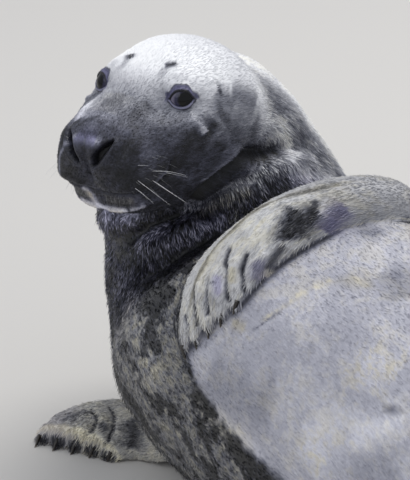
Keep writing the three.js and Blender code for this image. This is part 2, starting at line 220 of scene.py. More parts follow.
def leftForePlace(u, v, h, grow):
    lead, trail, thick = np.moveaxis(leftForeAt(u), -1, 0)
    share = (v + 1) / 2
    angle = leftForeReach["root"] + u * (leftForeReach["lead"] * (1 - share) + leftForeReach["trail"] * share)
    lift = -12 * (1 - h) + thick * h
    return bodyPoint(lead * (1 - share) + trail * share, np.radians(angle), lift + grow)


def flatPlace(rows):
    lead, trail, heights = [track(rows, lambda row, k=k: row[k]) for k in range(3)]

    def place(u, v, h, grow):
        share = ((v + 1) / 2)[..., None]
        flat = lead(u) * (1 - share) + trail(u) * share
        top, low = heights(u)[..., 0], np.maximum(0, heights(u)[..., 1])
        h = np.where(h > 0, np.maximum(h, 0.3), 0)
        z = np.maximum(0, low * (1 - h) + top * h + grow)
        return np.concatenate([flat, z[..., None]], -1)
    return place


flipperPlaces = {"left_fore": leftForePlace, **{name: flatPlace(rows) for name, rows in flatFlippers.items()}}
flipperForm = {
    "digits": 5, "rows": 80, "perDigit": 14, "shrink": -1.6,
    "bay": {"left_fore": 0.085, "right_fore": 0.07, "right_hind": 0.1, "left_hind": 0.1},
    "groove": {"left_fore": 0.3, "right_fore": 0.16, "right_hind": 0.42, "left_hind": 0.42},
}


# every form is a loft: rings of points with their place along and round, and closed ends
def loftMesh(points, params, zipped=False):
    rings, n = points.shape[:2]
    grid = np.arange(rings * n).reshape(rings, n)
    a, b = grid[:-1], np.roll(grid, -1, 1)[:-1]
    c, d = np.roll(grid, -1, 1)[1:], grid[1:]
    tris = [np.stack([a, b, c], -1).reshape(-1, 3), np.stack([a, c, d], -1).reshape(-1, 3)]
    centre = rings * n
    tris.append(np.array([(centre, (j + 1) % n, j) for j in range(n)]))
    end = grid[-1]
    if zipped:
        half = [(end[j], end[j + 1], end[n - 2 - j], end[n - 1 - j]) for j in range(n // 2 - 1)]
        tris.append(np.array([t for q in half for t in ((q[0], q[1], q[2]), (q[0], q[2], q[3]))]))
    else:
        tris.append(np.array([(centre + 1, end[j], end[(j + 1) % n]) for j in range(n)]))
    ends = points[[0, -1]].mean(1)
    endParams = params[[0, -1]].mean(1)
    return (np.concatenate([points.reshape(-1, 3), ends]),
            np.concatenate([params.reshape(rings * n, -1), endParams]), np.concatenate(tris))


def flipperMesh(name):
    form = flipperForm
    digits, per = form["digits"], form["perDigit"]
    across = np.linspace(-1, 1, digits * per + 1)
    u, v = np.meshgrid(np.linspace(0, 1, form["rows"] + 1), np.concatenate([across, across[::-1]]), indexing="ij")
    upper = np.arange(len(across) * 2) < len(across)
    digit = (v + 1) / 2 * digits
    part = 2 * (digit - np.floor(np.minimum(digit, digits - 1e-6))) - 1
    digitRound = np.sqrt(np.maximum(0, 1 - part ** 2))
    edge = np.maximum(0, 1 - v * v) ** 0.4
    swell = edge * (1 - form["groove"][name] * (1 - digitRound) * smoothStep(0.35, 0.8, u))
    reach = 1 - form["bay"][name] * (1 - digitRound)
    grow = form["shrink"]
    h = np.where(upper, swell, 0.0)
    points = flipperPlaces[name](u * reach, v * (1 + grow * 0.02), h, np.where(upper, grow, -grow))
    return loftMesh(points, np.stack([u * reach, v, h], -1), zipped=True)


def lofts(shrink):
    made = {}
    s, a = np.meshgrid(np.linspace(216, 1839, 300), np.linspace(0, 2 * np.pi, 181)[:-1], indexing="ij")
    made["body"] = loftMesh(bodyPoint(s, a, -shrink), np.stack([s, np.cos(a), np.sin(a)], -1))
    ends, length = headEnds, headEnds["length"]
    quarter = np.linspace(0, np.pi / 2, 16)
    along = np.concatenate([
        np.maximum(0.3, ends["nose"] * (1 - np.cos(quarter))),
        np.linspace(ends["nose"], length - ends["nape"], 52)[1:-1],
        np.minimum(length - 0.3, length - ends["nape"] + ends["nape"] * np.sin(quarter))])
    s, a = np.meshgrid(along, np.linspace(0, 2 * np.pi, 161)[:-1], indexing="ij")
    made["head"] = loftMesh(headPoint(s, a, -shrink), np.stack([s, np.cos(a), np.sin(a)], -1))
    for name in flipperPlaces:
        made[name] = flipperMesh(name)
    root, tip = np.array(tailForm["root"], float), np.array(tailForm["tip"], float)
    t, a = np.meshgrid(np.linspace(0, 1, 30), np.linspace(0, 2 * np.pi, 49)[:-1], indexing="ij")
    rounded = np.sqrt(np.maximum(0.0004, 1 - t ** 3))
    ring = np.stack([0 * t, (tailForm["wide"] - 2) * np.cos(a) * rounded,
                     (tailForm["high"] - 2) * np.sin(a) * rounded], -1)
    made["tail"] = loftMesh(root + (tip - root) * t[..., None] * 0.985 + ring,
        np.stack([t, np.cos(a), np.sin(a)], -1))
    return made


skinForm = {
    "coatDepth": 2.4,  # how far the skin lies inside the solids
    "voxel": 3.0,
    "triangles": 148000,
}
eyeCentreCad = np.mean(np.array(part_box("eye_left"), float), 0) * 1000
cadShift = eyeCentreCad - fromHead(eyePlace["at"])


def toScene(p):  # millimetres of the tables to metres of the scene
    return (np.asarray(p, float) + cadShift) / 1000


def makeMesh(name, points, faces, smooth=True):
    mesh = bpy.data.meshes.new(name)
    mesh.from_pydata(np.asarray(points).tolist(), [], np.asarray(faces).tolist()
                     if isinstance(faces, np.ndarray) else faces)
    if smooth:
        mesh.shade_smooth()
    return mesh


def faceOutwards(mesh):
    work = bmesh.new()
    work.from_mesh(mesh)
    bmesh.ops.recalc_face_normals(work, faces=work.faces)
    work.to_mesh(mesh)
    work.free()


def addObject(name, mesh):
    ob = bpy.data.objects.new(name, mesh)
    scene.collection.objects.link(ob)
    return ob


def applied(ob, name):  # the evaluated mesh, and the object without its modifiers
    depsgraph = bpy.context.evaluated_depsgraph_get()
    mesh = bpy.data.meshes.new_from_object(ob.evaluated_get(depsgraph))
    mesh.name = name
    ob.modifiers.clear()
    ob.data = mesh
    return mesh


def meshArrays(mesh):
    points = np.empty(len(mesh.vertices) * 3)
    mesh.vertices.foreach_get("co", points)
    mesh.calc_loop_triangles()
    tris = np.empty(len(mesh.loop_triangles) * 3, np.int32)
    mesh.loop_triangles.foreach_get("vertices", tris)
    return points.reshape(-1, 3), tris.reshape(-1, 3)


class Neighbours:  # averages over each point's neighbours
    def __init__(self, count, tris):
        pairs = np.concatenate([tris[:, [0, 1]], tris[:, [1, 2]], tris[:, [2, 0]]])
        pairs = np.unique(np.sort(pairs, 1), axis=0)
        self.a = np.concatenate([pairs[:, 0], pairs[:, 1]])
        self.b = np.concatenate([pairs[:, 1], pairs[:, 0]])
        self.count = count
        self.degree = np.maximum(np.bincount(self.a, minlength=count), 1)

    def mean(self, values):
        values = np.asarray(values, float)
        flat = values.reshape(self.count, -1)
        out = np.stack([np.bincount(self.a, flat[self.b, k], self.count) for k in range(flat.shape[1])], -1)
        return (out / self.degree[:, None]).reshape(values.shape)

    def smooth(self, values, rounds, weight=1.0):
        w = np.asarray(weight)
        w = w[:, None] if w.ndim and np.ndim(values) > 1 else w
        for _ in range(rounds):
            values = values + (self.mean(values) - values) * w * 0.6
        return values


def nearest(loft, points):  # the loft's own coordinates at its nearest place, and how far it is
    vertices, params, tris = loft
    tree = BVHTree.FromPolygons(vertices.tolist(), tris.tolist())
    place, index = np.empty((len(points), 3)), np.empty(len(points), int)
    away = np.empty(len(points))
    for i, p in enumerate(points):
        at, _, face, gap = tree.find_nearest(Vector(p))
        place[i], index[i], away[i] = at, face, gap
    corners = vertices[tris[index]]
    e0, e1, e2 = corners[:, 1] - corners[:, 0], corners[:, 2] - corners[:, 0], place - corners[:, 0]
    d00, d01, d11 = [np.sum(x * y, -1) for x, y in ((e0, e0), (e0, e1), (e1, e1))]
    d20, d21 = np.sum(e2 * e0, -1), np.sum(e2 * e1, -1)
    area = np.maximum(d00 * d11 - d01 * d01, 1e-12)
    v, w = (d11 * d20 - d01 * d21) / area, (d00 * d21 - d01 * d20) / area
    share = np.stack([1 - v - w, v, w], -1)
    return np.einsum("ij,ijk->ik", share, params[tris[index]]), away


softJoins = [  # where limbs and neck run into each other: place, reach, rounds of smoothing
    ((-30, 40, 430), 105, 170), ((-130, 10, 430), 110, 150), ((-90, 0, 455), 90, 120),
    ((-95, -20, 390), 70, 40), (tuple(bodyPoint(790.0, math.radians(104))), 62, 30),
    ((-18, -62, 62), 60, 40), ((1205, -50, 78), 52, 40), ((1205, -36, 26), 46, 34), ((1214, 20, 60), 40, 34),
]
fineSpots = [  # in the head's axes: eyes, nostrils, mouth, ears: place, reach, longest edge
    ((62, 42, 102), 21, 1.15), ((-62, 42, 102), 21, 1.15), ((0, -4, 8), 36, 1.4),
    ((34, -46, 50), 44, 2.1), ((-34, -46, 50), 44, 2.1), ((0, -62, 50), 30, 2.1),
    ((78, 46, 160), 12, 1.5), ((-78, 46, 160), 12, 1.5), ((86, 6, 114), 22, 2.2),
]
fineLimbs = [  # along the fore flippers: flipper, share of its length and width, reach, longest edge
    ("left_fore", (0.72, 0.0), 62, 3.4), ("left_fore", (0.9, 0.2), 66, 2.8), ("left_fore", (0.9, -0.5), 50, 2.8),
    ("left_fore", (0.5, 0.0), 70, 4.2), ("right_fore", (0.8, 0.0), 85, 3.2),
]


def joinedSkin():  # one closed skin over all the flesh
    forms = lofts(skinForm["coatDepth"])
    points, faces, count = [], [], 0
    for vertices, _, tris in forms.values():
        points.append(vertices)
        faces.append(tris + count)
        count += len(vertices)
    rough = addObject("roughSkin", makeMesh("roughSkin", np.concatenate(points) / 1000, np.concatenate(faces)))
    remesh = rough.modifiers.new("join", "REMESH")
    remesh.mode = "VOXEL"
    remesh.voxel_size = skinForm["voxel"] / 1000
    mesh = applied(rough, "roughSkin")
    p, tris = meshArrays(mesh)
    p = p * 1000
    near = Neighbours(len(p), tris)
    p = near.smooth(p, 3)
    for place, reach, rounds in softJoins:
        weight = np.clip(1.35 * bell(np.linalg.norm(p - np.array(place), axis=-1), reach) - 0.35, 0, 1)
        some = weight > 0
        local = np.flatnonzero(some)
        lookup = np.full(len(p), -1)
        lookup[local] = np.arange(len(local))
        keep = some[near.a] & some[near.b]
        a, b = lookup[near.a[keep]], lookup[near.b[keep]]
        degree = np.maximum(np.bincount(a, minlength=len(local)), 1)
        q, w = p[local], (weight[local] * 0.6)[:, None]
        for _ in range(rounds):
            mean = np.stack([np.bincount(a, q[b, k], len(local)) for k in range(3)], -1) / degree[:, None]
            q = q + (mean - q) * w
        p[local] = q
    mesh.vertices.foreach_set("co", (p / 1000).ravel())
    h = toHead(p)
    face = smoothStep(330, 200, np.linalg.norm(h - (0, 0, 110), axis=-1))
    weight = 1 - 0.86 * face * (h[:, 2] < 260)
    group = rough.vertex_groups.new(name="thin")
    for level in np.linspace(0, 1, 11):
        chosen = np.flatnonzero(np.abs(weight - level) <= 0.05)
        group.add(chosen.tolist(), float(level), "REPLACE")
    fewer = rough.modifiers.new("fewer", "DECIMATE")
    fewer.ratio = skinForm["triangles"] / len(tris)
    fewer.vertex_group = "thin"
    fewer.vertex_group_factor = 1.0
    mesh = applied(rough, "skin")
    refine(mesh)
    p, tris = meshArrays(mesh)
    print("joined skin", len(p), "points", len(tris), "triangles")
    return forms, rough, p * 1000, tris


def refine(mesh):  # shorter edges where the face needs them
    work = bmesh.new()
    work.from_mesh(mesh)
    bmesh.ops.triangulate(work, faces=work.faces)
    for _ in range(3):
        work.verts.ensure_lookup_table()
        p = np.array([v.co[:] for v in work.verts]) * 1000
        h = toHead(p)
        wanted = np.full(len(h), 99.0)
        for place, reach, longest in fineSpots:
            d = np.linalg.norm(h - np.array(place), axis=-1) - reach
            wanted = np.minimum(wanted, longest + 0.16 * np.maximum(d, 0))
        for name, (u, v), reach, longest in fineLimbs:
            middle = flipperPlaces[name](np.array(u), np.array(v), np.array(0.8), 0.0)
            d = np.linalg.norm(p - middle, axis=-1) - reach
            wanted = np.minimum(wanted, longest + 0.2 * np.maximum(d, 0))
        work.verts.index_update()
        edges = [e for e in work.edges
                 if min(wanted[e.verts[0].index], wanted[e.verts[1].index]) * 1.35e-3 < e.calc_length()]
        if not edges:
            break
        bmesh.ops.subdivide_edges(work, edges=edges, cuts=1, use_grid_fill=False)
        bmesh.ops.triangulate(work, faces=[f for f in work.faces if len(f.verts) > 3])
    bmesh.ops.beautify_fill(work, faces=work.faces[:], edges=work.edges[:], method="ANGLE")
    work.to_mesh(mesh)
    work.free()


forms, skin, skinPoints, skinTris = joinedSkin()
near = Neighbours(len(skinPoints), skinTris)


def normalsOf(points):
    a, b, c = points[skinTris[:, 0]], points[skinTris[:, 1]], points[skinTris[:, 2]]
    face = np.cross(b - a, c - a)
    out = np.zeros_like(points)
    for k in range(3):
        for axis in range(3):
            out[:, axis] += np.bincount(skinTris[:, k], face[:, axis], len(points))
    return unit(out)


# where each point of the skin is on its forms
outOfReach = 99.0
place, away = {}, {}
for name, loft in forms.items():
    low, high = loft[0].min(0) - 30, loft[0].max(0) + 30
    inside = np.all((skinPoints > low) & (skinPoints < high), 1)
    place[name], away[name] = np.zeros((len(skinPoints), 3)), np.full(len(skinPoints), outOfReach)
    place[name][inside], away[name][inside] = nearest(loft, skinPoints[inside])
alongBody = place["body"][:, 0]
roundBody = np.degrees(np.arctan2(place["body"][:, 2], place["body"][:, 1])) % 360
inHead = toHead(skinPoints)
headShare = smoothStep(-14, 14, away["body"] - away["head"]) * (inHead[:, 2] < 330)
flipperShare = {name: smoothStep(-4, 4, np.minimum(away["body"], away["head"]) - away[name])
                for name in list(flipperPlaces) + ["tail"]}
# far from the body and from its own form, a place has half a share of each: the colours keep it, but the lie and
# the zones of the coat count only what is in reach
reached = {name: share * (away[name] < outOfReach) for name, share in flipperShare.items()}
print("placed", len(skinPoints), "points")


# strokes raise, sink or tint the skin along a line of places: its own reach and strength each
skinTree = BVHTree.FromPolygons(skinPoints.tolist(), skinTris.tolist())


def smoothLine(path, step=4.0):
    path = np.array(path, float)
    if len(path) == 1:
        return path
    rows = {i: tuple(p) for i, p in enumerate(path)}
    length = np.linalg.norm(np.diff(path, axis=0), axis=1).sum()
    line = track(rows, lambda p: p)(np.linspace(0, len(path) - 1, max(3, int(length / step)))) if len(path) > 2 \
        else path[0] + (path[1] - path[0]) * np.linspace(0, 1, max(2, int(length / step)))[:, None]
    return line


def onSkin(line):
    return np.array([skinTree.find_nearest(Vector(p))[0] for p in line])


def strokeShare(path, reach, taper=0.15, snap=True):  # how strongly a stroke works on each point
    line = smoothLine(path)
    if snap:
        line = onSkin(line)
    low, high = line.min(0) - 2.6 * reach, line.max(0) + 2.6 * reach
    some = np.flatnonzero(np.all((skinPoints > low) & (skinPoints < high), 1))
    out = np.zeros(len(skinPoints))
    if not len(some):
        return out
    p = skinPoints[some]
    best, at = np.full(len(p), 1e9), np.zeros(len(p))
    if len(line) == 1:
        best = np.linalg.norm(p - line[0], axis=-1)
        at[:] = 0.5
    for i in range(len(line) - 1):
        d = line[i + 1] - line[i]
        t = np.clip(((p - line[i]) @ d) / max(d @ d, 1e-9), 0, 1)
        gap = np.linalg.norm(p - line[i] - t[:, None] * d, axis=-1)
        nearer = gap < best
        best[nearer], at[nearer] = gap[nearer], ((i + t) / (len(line) - 1))[nearer]
    ends = smoothStep(0, taper, at) * smoothStep(0, taper, 1 - at) if taper and len(line) > 1 else 1
    out[some] = bell(best, reach) * ends
    return out


def bothSides(path):
    return [fromHead(path), fromHead(np.array(path, float) * (-1, 1, 1))]


headForms = [  # strokes in the head's axes, on both sides: path, height, reach, taper
    ([(0, 22, 20), (0, 6, 4), (0, -20, 2), (0, -50, 17)], -1.3, 2.6, 0.2),
    ([(-5, -53, 18), (20, -52, 16), (40, -50, 20), (55, -50, 29), (61, -50, 44), (66, -44, 57), (70, -35, 66),
     (73, -25, 70),
      (75, -15, 73)], -5.5, 2.6, 0.1),
    ([(8, -44, 12), (26, -42, 10), (46, -40, 18), (60, -38, 36), (66, -38, 56)], 3.0, 7, 0.2),
    ([(0, -62, 22), (24, -60, 22), (46, -58, 32), (60, -56, 52), (67, -50, 70)], -2.5, 6, 0.1),
    ([(0, -67, 25), (20, -68, 26), (36, -68, 29), (50, -65, 38)], -0.5, 1.4, 0.2),
    ([(0, -71, 27), (20, -72, 28), (36, -70, 31), (50, -67, 41)], -0.5, 1.4, 0.2),
    ([(-6, -78, 32), (14, -77, 32), (25, -76, 33), (36, -74, 35), (44, -71, 39), (51, -68, 46), (56, -65, 54)],
     3.6, 4.6, 0.15),
    ([(74, -17, 72), (71, -26, 68), (69, -32, 63), (66, -37, 53), (63, -40, 41)], 1.6, 2.4, 0.3),
    ([(37, 19, 26), (35, 8, 15), (29, -4, 9), (21, -17, 6)], 2.6, 3.8, 0.3),
    ([(18, 18, 12), (11, 5, 5), (6, -10, 4)], 1.8, 5, 0.3),
    ([(38, 26, 36), (43, 8, 26), (38, -14, 15)], -2.2, 5, 0.3),
    ([(0, 26, 26), (0, 14, 12)], 2.0, 13, 0.0),
    ([(50, 46, 82), (44, 46, 86)], -5.0, 15, 0.0), ([(58, 36, 84)], -4.5, 14, 0.0),
    ([(79, -28, 84), (82, -40, 94), (84, -48, 104)], -2.2, 3.2, 0.3),
    ([(77, 23, 110), (82, 14, 110), (87, 6, 116), (88, -2, 116)], 3.4, 3.6, 0.25),
    ([(84, 22, 120), (90, 8, 126), (92, -8, 124)], -3.0, 5, 0.3),
    ([(72, 56, 146), (76, 50, 158), (80, 42, 164)], 1.6, 4, 0.3),
    ([(76, 48, 158), (78, 44, 160)], -3.6, 2.2, 0.0),
    ([(90, -20, 150), (92, -48, 160), (84, -70, 150)], 3.0, 12, 0.3),
    ([(74, -60, 96), (86, -50, 130), (93, -38, 162), (96, -22, 190)], 4.5, 9, 0.25),
    ([(52, 66, 110), (44, 72, 126), (26, 74, 130)], 1.6, 8, 0.3),
    ([(26, 71, 128)], 1.2, 5, 0.0),
]
nostril = {  # place and half width along each slit, and its depth
    "path": [(32, 14, 20), (27, 8, 12), (21, 0, 7), (15, -9, 5), (10, -17, 6)],
    "wide": (2.0, 5.4, 6.8, 5.8, 2.2), "depth": 11,
}
bodyForms = [  # strokes on the body, in the table's axes: path, height, reach, taper
    ([(-106, -132, 320), (-112, -128, 298), (-113, -126, 276)], 9, 24, 0.2),
    ([(-106, -133, 290), (-60, -131, 299), (-37, -116, 322), (-6, -98, 348), (30, -92, 378), (40, -70, 398),
      (39, -53, 410), (36, -35, 418), (23, 3, 411), (19, 37, 407), (7, 72, 397), (-8, 111, 373)], -14, 7.5, 0.12),
    ([(-60, -128, 286), (-18, -121, 306), (24, -98, 345), (40, -66, 376), (40, -30, 392), (33, 12, 393),
      (24, 50, 388), (8, 96, 365)], 9.5, 12, 0.15),
    ([(-22, -145, 252), (-4, -135, 272), (12, -119, 292), (24, -103, 307), (37, -83, 322), (43, -63, 335),
      (39, -42, 350)], -7, 6, 0.2),
    ([(-14, -130, 282), (7, -100, 322), (15, -60, 354), (27, -30, 367), (35, -4, 373), (34, 28, 380)], 4.5, 8, 0.2),
    ([(-150, -118, 286), (-106, -133, 276), (-63, -136, 290), (-37, -122, 316)], -6, 6, 0.15),
    ([(-150, -112, 318), (-110, -128, 318), (-70, -120, 322)], -5, 5, 0.2),
    ([(-140, -122, 262), (-96, -142, 256), (-50, -146, 262)], -4, 6, 0.2),
    ([(176, -172, 262), (200, -180, 244), (237, -185, 227), (269, -187, 220), (296, -188, 218),
      (328, -188, 217), (360, -187, 214), (401, -187, 208)], -3, 7, 0.25),
    ([(250, -145, 311), (262, -132, 327), (275, -112, 348), (283, -98, 359), (291, -85, 368), (304, -76, 374),
      (321, -68, 378), (342, -61, 381)], -3.2, 2.6, 0.15),
    ([(256, -152, 302), (270, -138, 322), (284, -118, 344), (298, -92, 364), (318, -80, 372)], 1.8, 6, 0.2),
]
leftForeForms = [  # strokes along the flipper, as shares of its length and width: path, height, reach
    ([(0.77, 0.47), (0.82, 0.55), (0.86, 0.6), (0.91, 0.73), (0.96, 0.9)], -6.5, 2.5),
    ([(0.74, 0.0), (0.79, 0.08), (0.83, 0.19), (0.88, 0.31), (0.94, 0.49), (0.98, 0.65)], -6.5, 2.5),
    ([(0.84, -0.2), (0.89, -0.11), (0.93, -0.02), (0.98, 0.12)], -5.5, 2.3),
    ([(0.85, -0.52), (0.9, -0.41), (0.94, -0.32), (0.99, -0.17)], -4.5, 2.3),
    ([(0.92, -0.7), (0.97, -0.54)], -3.5, 2.0),
    ([(0.78, 0.25), (0.86, 0.42), (0.93, 0.62)], 2.8, 5), ([(0.76, 0.72), (0.83, 0.82), (0.89, 0.93)], 2.6, 6),
    ([(0.82, -0.02), (0.9, 0.12), (0.96, 0.3)], 2.6, 4), ([(0.85, -0.36), (0.93, -0.18)], 2.2, 3.5),
    ([(0.36, 0.3), (0.44, 0.26), (0.5, 0.08), (0.56, -0.28), (0.65, -0.36), (0.72, -0.4), (0.8, -0.33),
     (0.87, -0.4)], -1.3, 2.6),
    ([(0.55, 0.5), (0.62, 0.66), (0.69, 0.86)], -2.6, 9),
]
rightForeForms = [
    ([(0.74, -0.36), (0.75, -0.15), (0.80, 0.08), (0.88, 0.20), (0.95, 0.26)], -3.6, 2.2),
    ([(0.62, -0.3), (0.65, 0.05), (0.71, 0.32), (0.78, 0.48), (0.88, 0.6), (0.95, 0.68)], -4.2, 2.4),
    ([(0.70, -0.02), (0.77, 0.24), (0.86, 0.42)], 3.0, 5), ([(0.79, -0.3), (0.86, -0.02)], 2.6, 5),
    ([(0.60, 0.5), (0.70, 0.64), (0.82, 0.8)], -3.0, 4), ([(0.88, -0.6), (0.88, -0.3)], -1.6, 5),
    ([(0.95, -0.85), (0.955, -0.36), (0.955, 0.15), (0.93, 0.6), (0.9, 0.8)], 3.4, 4.5),
    ([(0.45, -0.5), (0.6, -0.62), (0.75, -0.78), (0.88, -0.88)], 4.0, 10),
]


def flipperPath(name, path):
    u, v = np.array(path, float).T
    return flipperPlaces[name](u, v, np.ones(len(u)) * np.maximum(0, 1 - v * v) ** 0.4, 0.0)


def bodyWave(points):  # the slow unevenness of fat under the skin
    rng = np.random.default_rng(11)
    out = np.zeros(len(points))
    for size, height in ((190, 1.3), (120, 1.0), (75, 0.6), (42, 0.35)):
        for _ in range(7):
            direction = unit(rng.normal(size=3)) * 2 * np.pi / (size * rng.uniform(0.8, 1.3))
            out += height * 0.55 * np.sin(points @ direction + rng.uniform(0, 6.28))
    return out


baseNormals = unit(near.smooth(normalsOf(skinPoints), 4))
lift = np.zeros(len(skinPoints))
for path, height, reach, taper in headForms:
    for side in bothSides(path):
        lift += strokeShare(side, reach, taper) * height
for path, height, reach, taper in bodyForms:
    lift += strokeShare(path, reach, taper) * height
for name, strokes in (("left_fore", leftForeForms), ("right_fore", rightForeForms)):
    for path, height, reach in strokes:
        share = strokeShare(flipperPath(name, path), reach, 0.12)
        lift += share * height * smoothStep(0.2, 0.8, flipperShare[name])
lift += bodyWave(skinPoints) * (1 - headShare) * (1 - np.maximum(flipperShare["left_fore"],
    flipperShare["right_fore"]))
# the belly gives way along the edge of the flipper that lies on it
edge = away["left_fore"] * (1 - flipperShare["left_fore"]) + 40 * flipperShare["left_fore"]
lift -= 3.4 * bell(edge, 6.5) * (alongBody > 600)


def nostrilGap(p):  # how far each point is from the slit's middle, in half widths
    line = track({i: q + (w,) for i, (q, w) in enumerate(zip(nostril["path"], nostril["wide"]))},
                 lambda q: q)(np.linspace(0, 4, 60))
    mirrored = p * np.where(p[:, :1] < 0, -1, 1) * (1, 0, 0) + p * (0, 1, 1)
    gap = np.linalg.norm(mirrored[:, None, :] - line[None, :, :3], axis=-1)
    k = gap.argmin(1)
    return gap[np.arange(len(p)), k] / line[k, 3]


slit = np.full(len(skinPoints), 9.0)
front = np.flatnonzero((inHead[:, 2] < 40) & (np.abs(inHead[:, 0]) < 50) & (np.abs(inHead[:, 1]) < 40))
slit[front] = nostrilGap(inHead[front])
lift -= nostril["depth"] * (1 - smoothStep(0.35, 1.05, slit))
lift += 1.2 * bell(slit - 1.5, 0.4)
# the surface between the lids and the ball
eyeForm = {
    "ball": 18.8, "axis": {1: (0.6, 0.21, -0.78), -1: (0.42, 0.29, -0.86)}, "outer": (1.0, -0.04, 0.72),
    "half": 14.4, "top": 9.8, "bottom": 8.0, "lid": 0.9, "reach": 19.0,
}
lidGap = np.full(len(skinPoints), 99.0)
lidUp, lidAlong, lidFar = (np.zeros(len(skinPoints)) for _ in range(3))
skinShaped = skinPoints + baseNormals * lift[:, None]


def shapeLids(points, side):
    centre = fromHead(np.array(eyePlace["at"], float) * (side, 1, 1))
    mirror = np.array((side, 1, 1))
    axis = unit(np.array(eyeForm["axis"][side])) * mirror
    outer = np.array(eyeForm["outer"]) * mirror
    outer = unit(outer - axis * (outer @ axis))
    upward = np.cross(axis, outer) * side
    upward = upward if upward[1] > 0 else -upward
    d = (points - centre) @ headAxes.T
    r = np.linalg.norm(d, axis=-1)
    n = d / r[:, None]
    ahead = n @ axis
    some = np.flatnonzero((ahead > 0.15) & (r < 60))
    turned = np.arccos(np.clip(ahead[some], -1, 1))
    flat = np.stack([n[some] @ outer, n[some] @ upward], -1)
    flat = unit(flat) * (turned * eyeForm["ball"])[:, None]
    x, y = flat[:, 0] / eyeForm["half"], flat[:, 1]
    lidLine = np.where(y > 0, eyeForm["top"] * (1 - np.abs(x) ** 2.6), -eyeForm["bottom"] * (1 - np.abs(x) ** 2.4))
    high = np.abs(lidLine)
    beyond = np.hypot(np.maximum(np.abs(x) - 1, 0) * eyeForm["half"], np.where(np.abs(x) > 1, y, 0))
    gap = np.where(np.abs(x) < 1, (np.abs(y) - high) / np.hypot(1, 2.2 * np.abs(x) * high / eyeForm["half"]),
        beyond)
    ball = eyeForm["ball"]
    lid = ball + eyeForm["lid"] + 0.16 * np.maximum(gap, 0) + 0.6 * bell(gap - 1.8, 1.5) \
        - 0.8 * bell(gap - 5.4, 1.3) * (y > -2)
    inner = ball - 2.6
    wanted = inner + (lid - inner) * smoothStep(-1.0, 0.35, gap)
    keep = 1 - (1 - smoothStep(4.5, eyeForm["reach"], gap)) * (1 - smoothStep(ball + 6, ball + 18, r[some]))
    moved = wanted * (1 - keep) + r[some] * keep
    points[some] = centre + (n[some] * moved[:, None]) @ headAxes
    closer = gap < lidGap[some]
    lidGap[some[closer]] = gap[closer]
    lidUp[some[closer]] = y[closer]
    lidAlong[some[closer]] = x[closer]
    lidFar[some[closer]] = r[some[closer]] - ball
    return centre, axis, outer


eyeFrames = {side: shapeLids(skinShaped, side) for side in (1, -1)}
calm = (1 - headShare) * (1 - flipperShare["left_fore"]) * (1 - flipperShare["right_fore"])
skinShaped = near.smooth(skinShaped, 3, calm * 0.8)
skinShaped[:, 2] = np.maximum(skinShaped[:, 2], 0.15)
print("shaped the skin")


# the viewing place: the seal is seen from its belly side, a little from above
cameraForm = {
    "azimuth": 60, "elevation": 25, "target": (-20, -50, 290), "distance": 3600, "lens": 225,
}


def addCamera():
    azimuth, elevation = math.radians(cameraForm["azimuth"]), math.radians(cameraForm["elevation"])
    back = Vector((math.sin(azimuth) * math.cos(elevation), -math.cos(azimuth) * math.cos(elevation),
                   math.sin(elevation)))
    data = bpy.data.cameras.new("camera")
    data.lens, data.sensor_width, data.clip_end = cameraForm["lens"], 36, 60
    camera = bpy.data.objects.new("camera", data)
    camera.location = Vector(toScene(cameraForm["target"])) + back * cameraForm["distance"] / 1000
    camera.rotation_euler = (-back).to_track_quat("-Z", "Y").to_euler()
    scene.collection.objects.link(camera)
    scene.camera = camera


studio = {
    "floorColour": (0.60, 0.58, 0.55), "worldColour": (0.88, 0.92, 1.0), "worldStrength": 0.62,
    "lamps": {  # place, aimed at, size, power, colour
        "skyLamp": ((-1.2, 1.5, 3.6), (-0.6, 0.0, 0.3), 2.2, 84, (1.0, 0.99, 0.97)),
        "frontLamp": ((-0.3, -2.9, 2.9), (-0.5, -0.1, 0.3), 3.0, 26, (0.95, 0.97, 1.0)),
    },
}


def addStudio():
    bpy.ops.mesh.primitive_plane_add(size=60)
    floor = bpy.context.object
    floor.name = "studioFloor"
    material = bpy.data.materials.new("studioFloor")
    material.use_nodes = True
    shader = material.node_tree.nodes["Principled BSDF"]
    shader.inputs["Base Color"].default_value = (*studio["floorColour"], 1)
    shader.inputs["Roughness"].default_value = 0.85
    floor.data.materials.append(material)
    world = bpy.data.worlds.new("studio")
    world.use_nodes = True
    background = world.node_tree.nodes["Background"]
    background.inputs["Color"].default_value = (*studio["worldColour"], 1)
    background.inputs["Strength"].default_value = studio["worldStrength"]
    scene.world = world
    for name, (place, aim, size, power, colour) in studio["lamps"].items():
        data = bpy.data.lights.new(name, "AREA")
        data.shape, data.size, data.energy, data.color = "DISK", size, power, colour
        lamp = bpy.data.objects.new(name, data)
        lamp.location = place
        lamp.rotation_euler = (Vector(aim) - Vector(place)).to_track_quat("-Z", "Y").to_euler()
        scene.collection.objects.link(lamp)


addCamera()
addStudio()
print("set the camera and the studio")


# what the coat's colours and tufts read: one value for each point of the skin
def paint(strokes, space="head"):
    out = np.zeros(len(skinPoints))
    for path, strength, reach in strokes:
        sides = bothSides(path) if space == "head" else [fromHead(path)] if space == "oneSide" \
            else [flipperPath(space, path)] if space in flipperPlaces else [np.array(path, float)]
        for side in sides:
            out = np.maximum(out, strength * strokeShare(side, reach, 0.1 if len(path) > 1 else 0))
    return out


# each stroke draws the values towards its own: path, value, reach, strength
def shaded(values, strokes, space="head"):
    for path, value, reach, strength in strokes:
        values = values + (value - values) * np.clip(paint([(path, strength, reach)], space), 0, 1)
    return values


def towards(values, value, share):
    return values + (value - values) * np.clip(share, 0, 1)


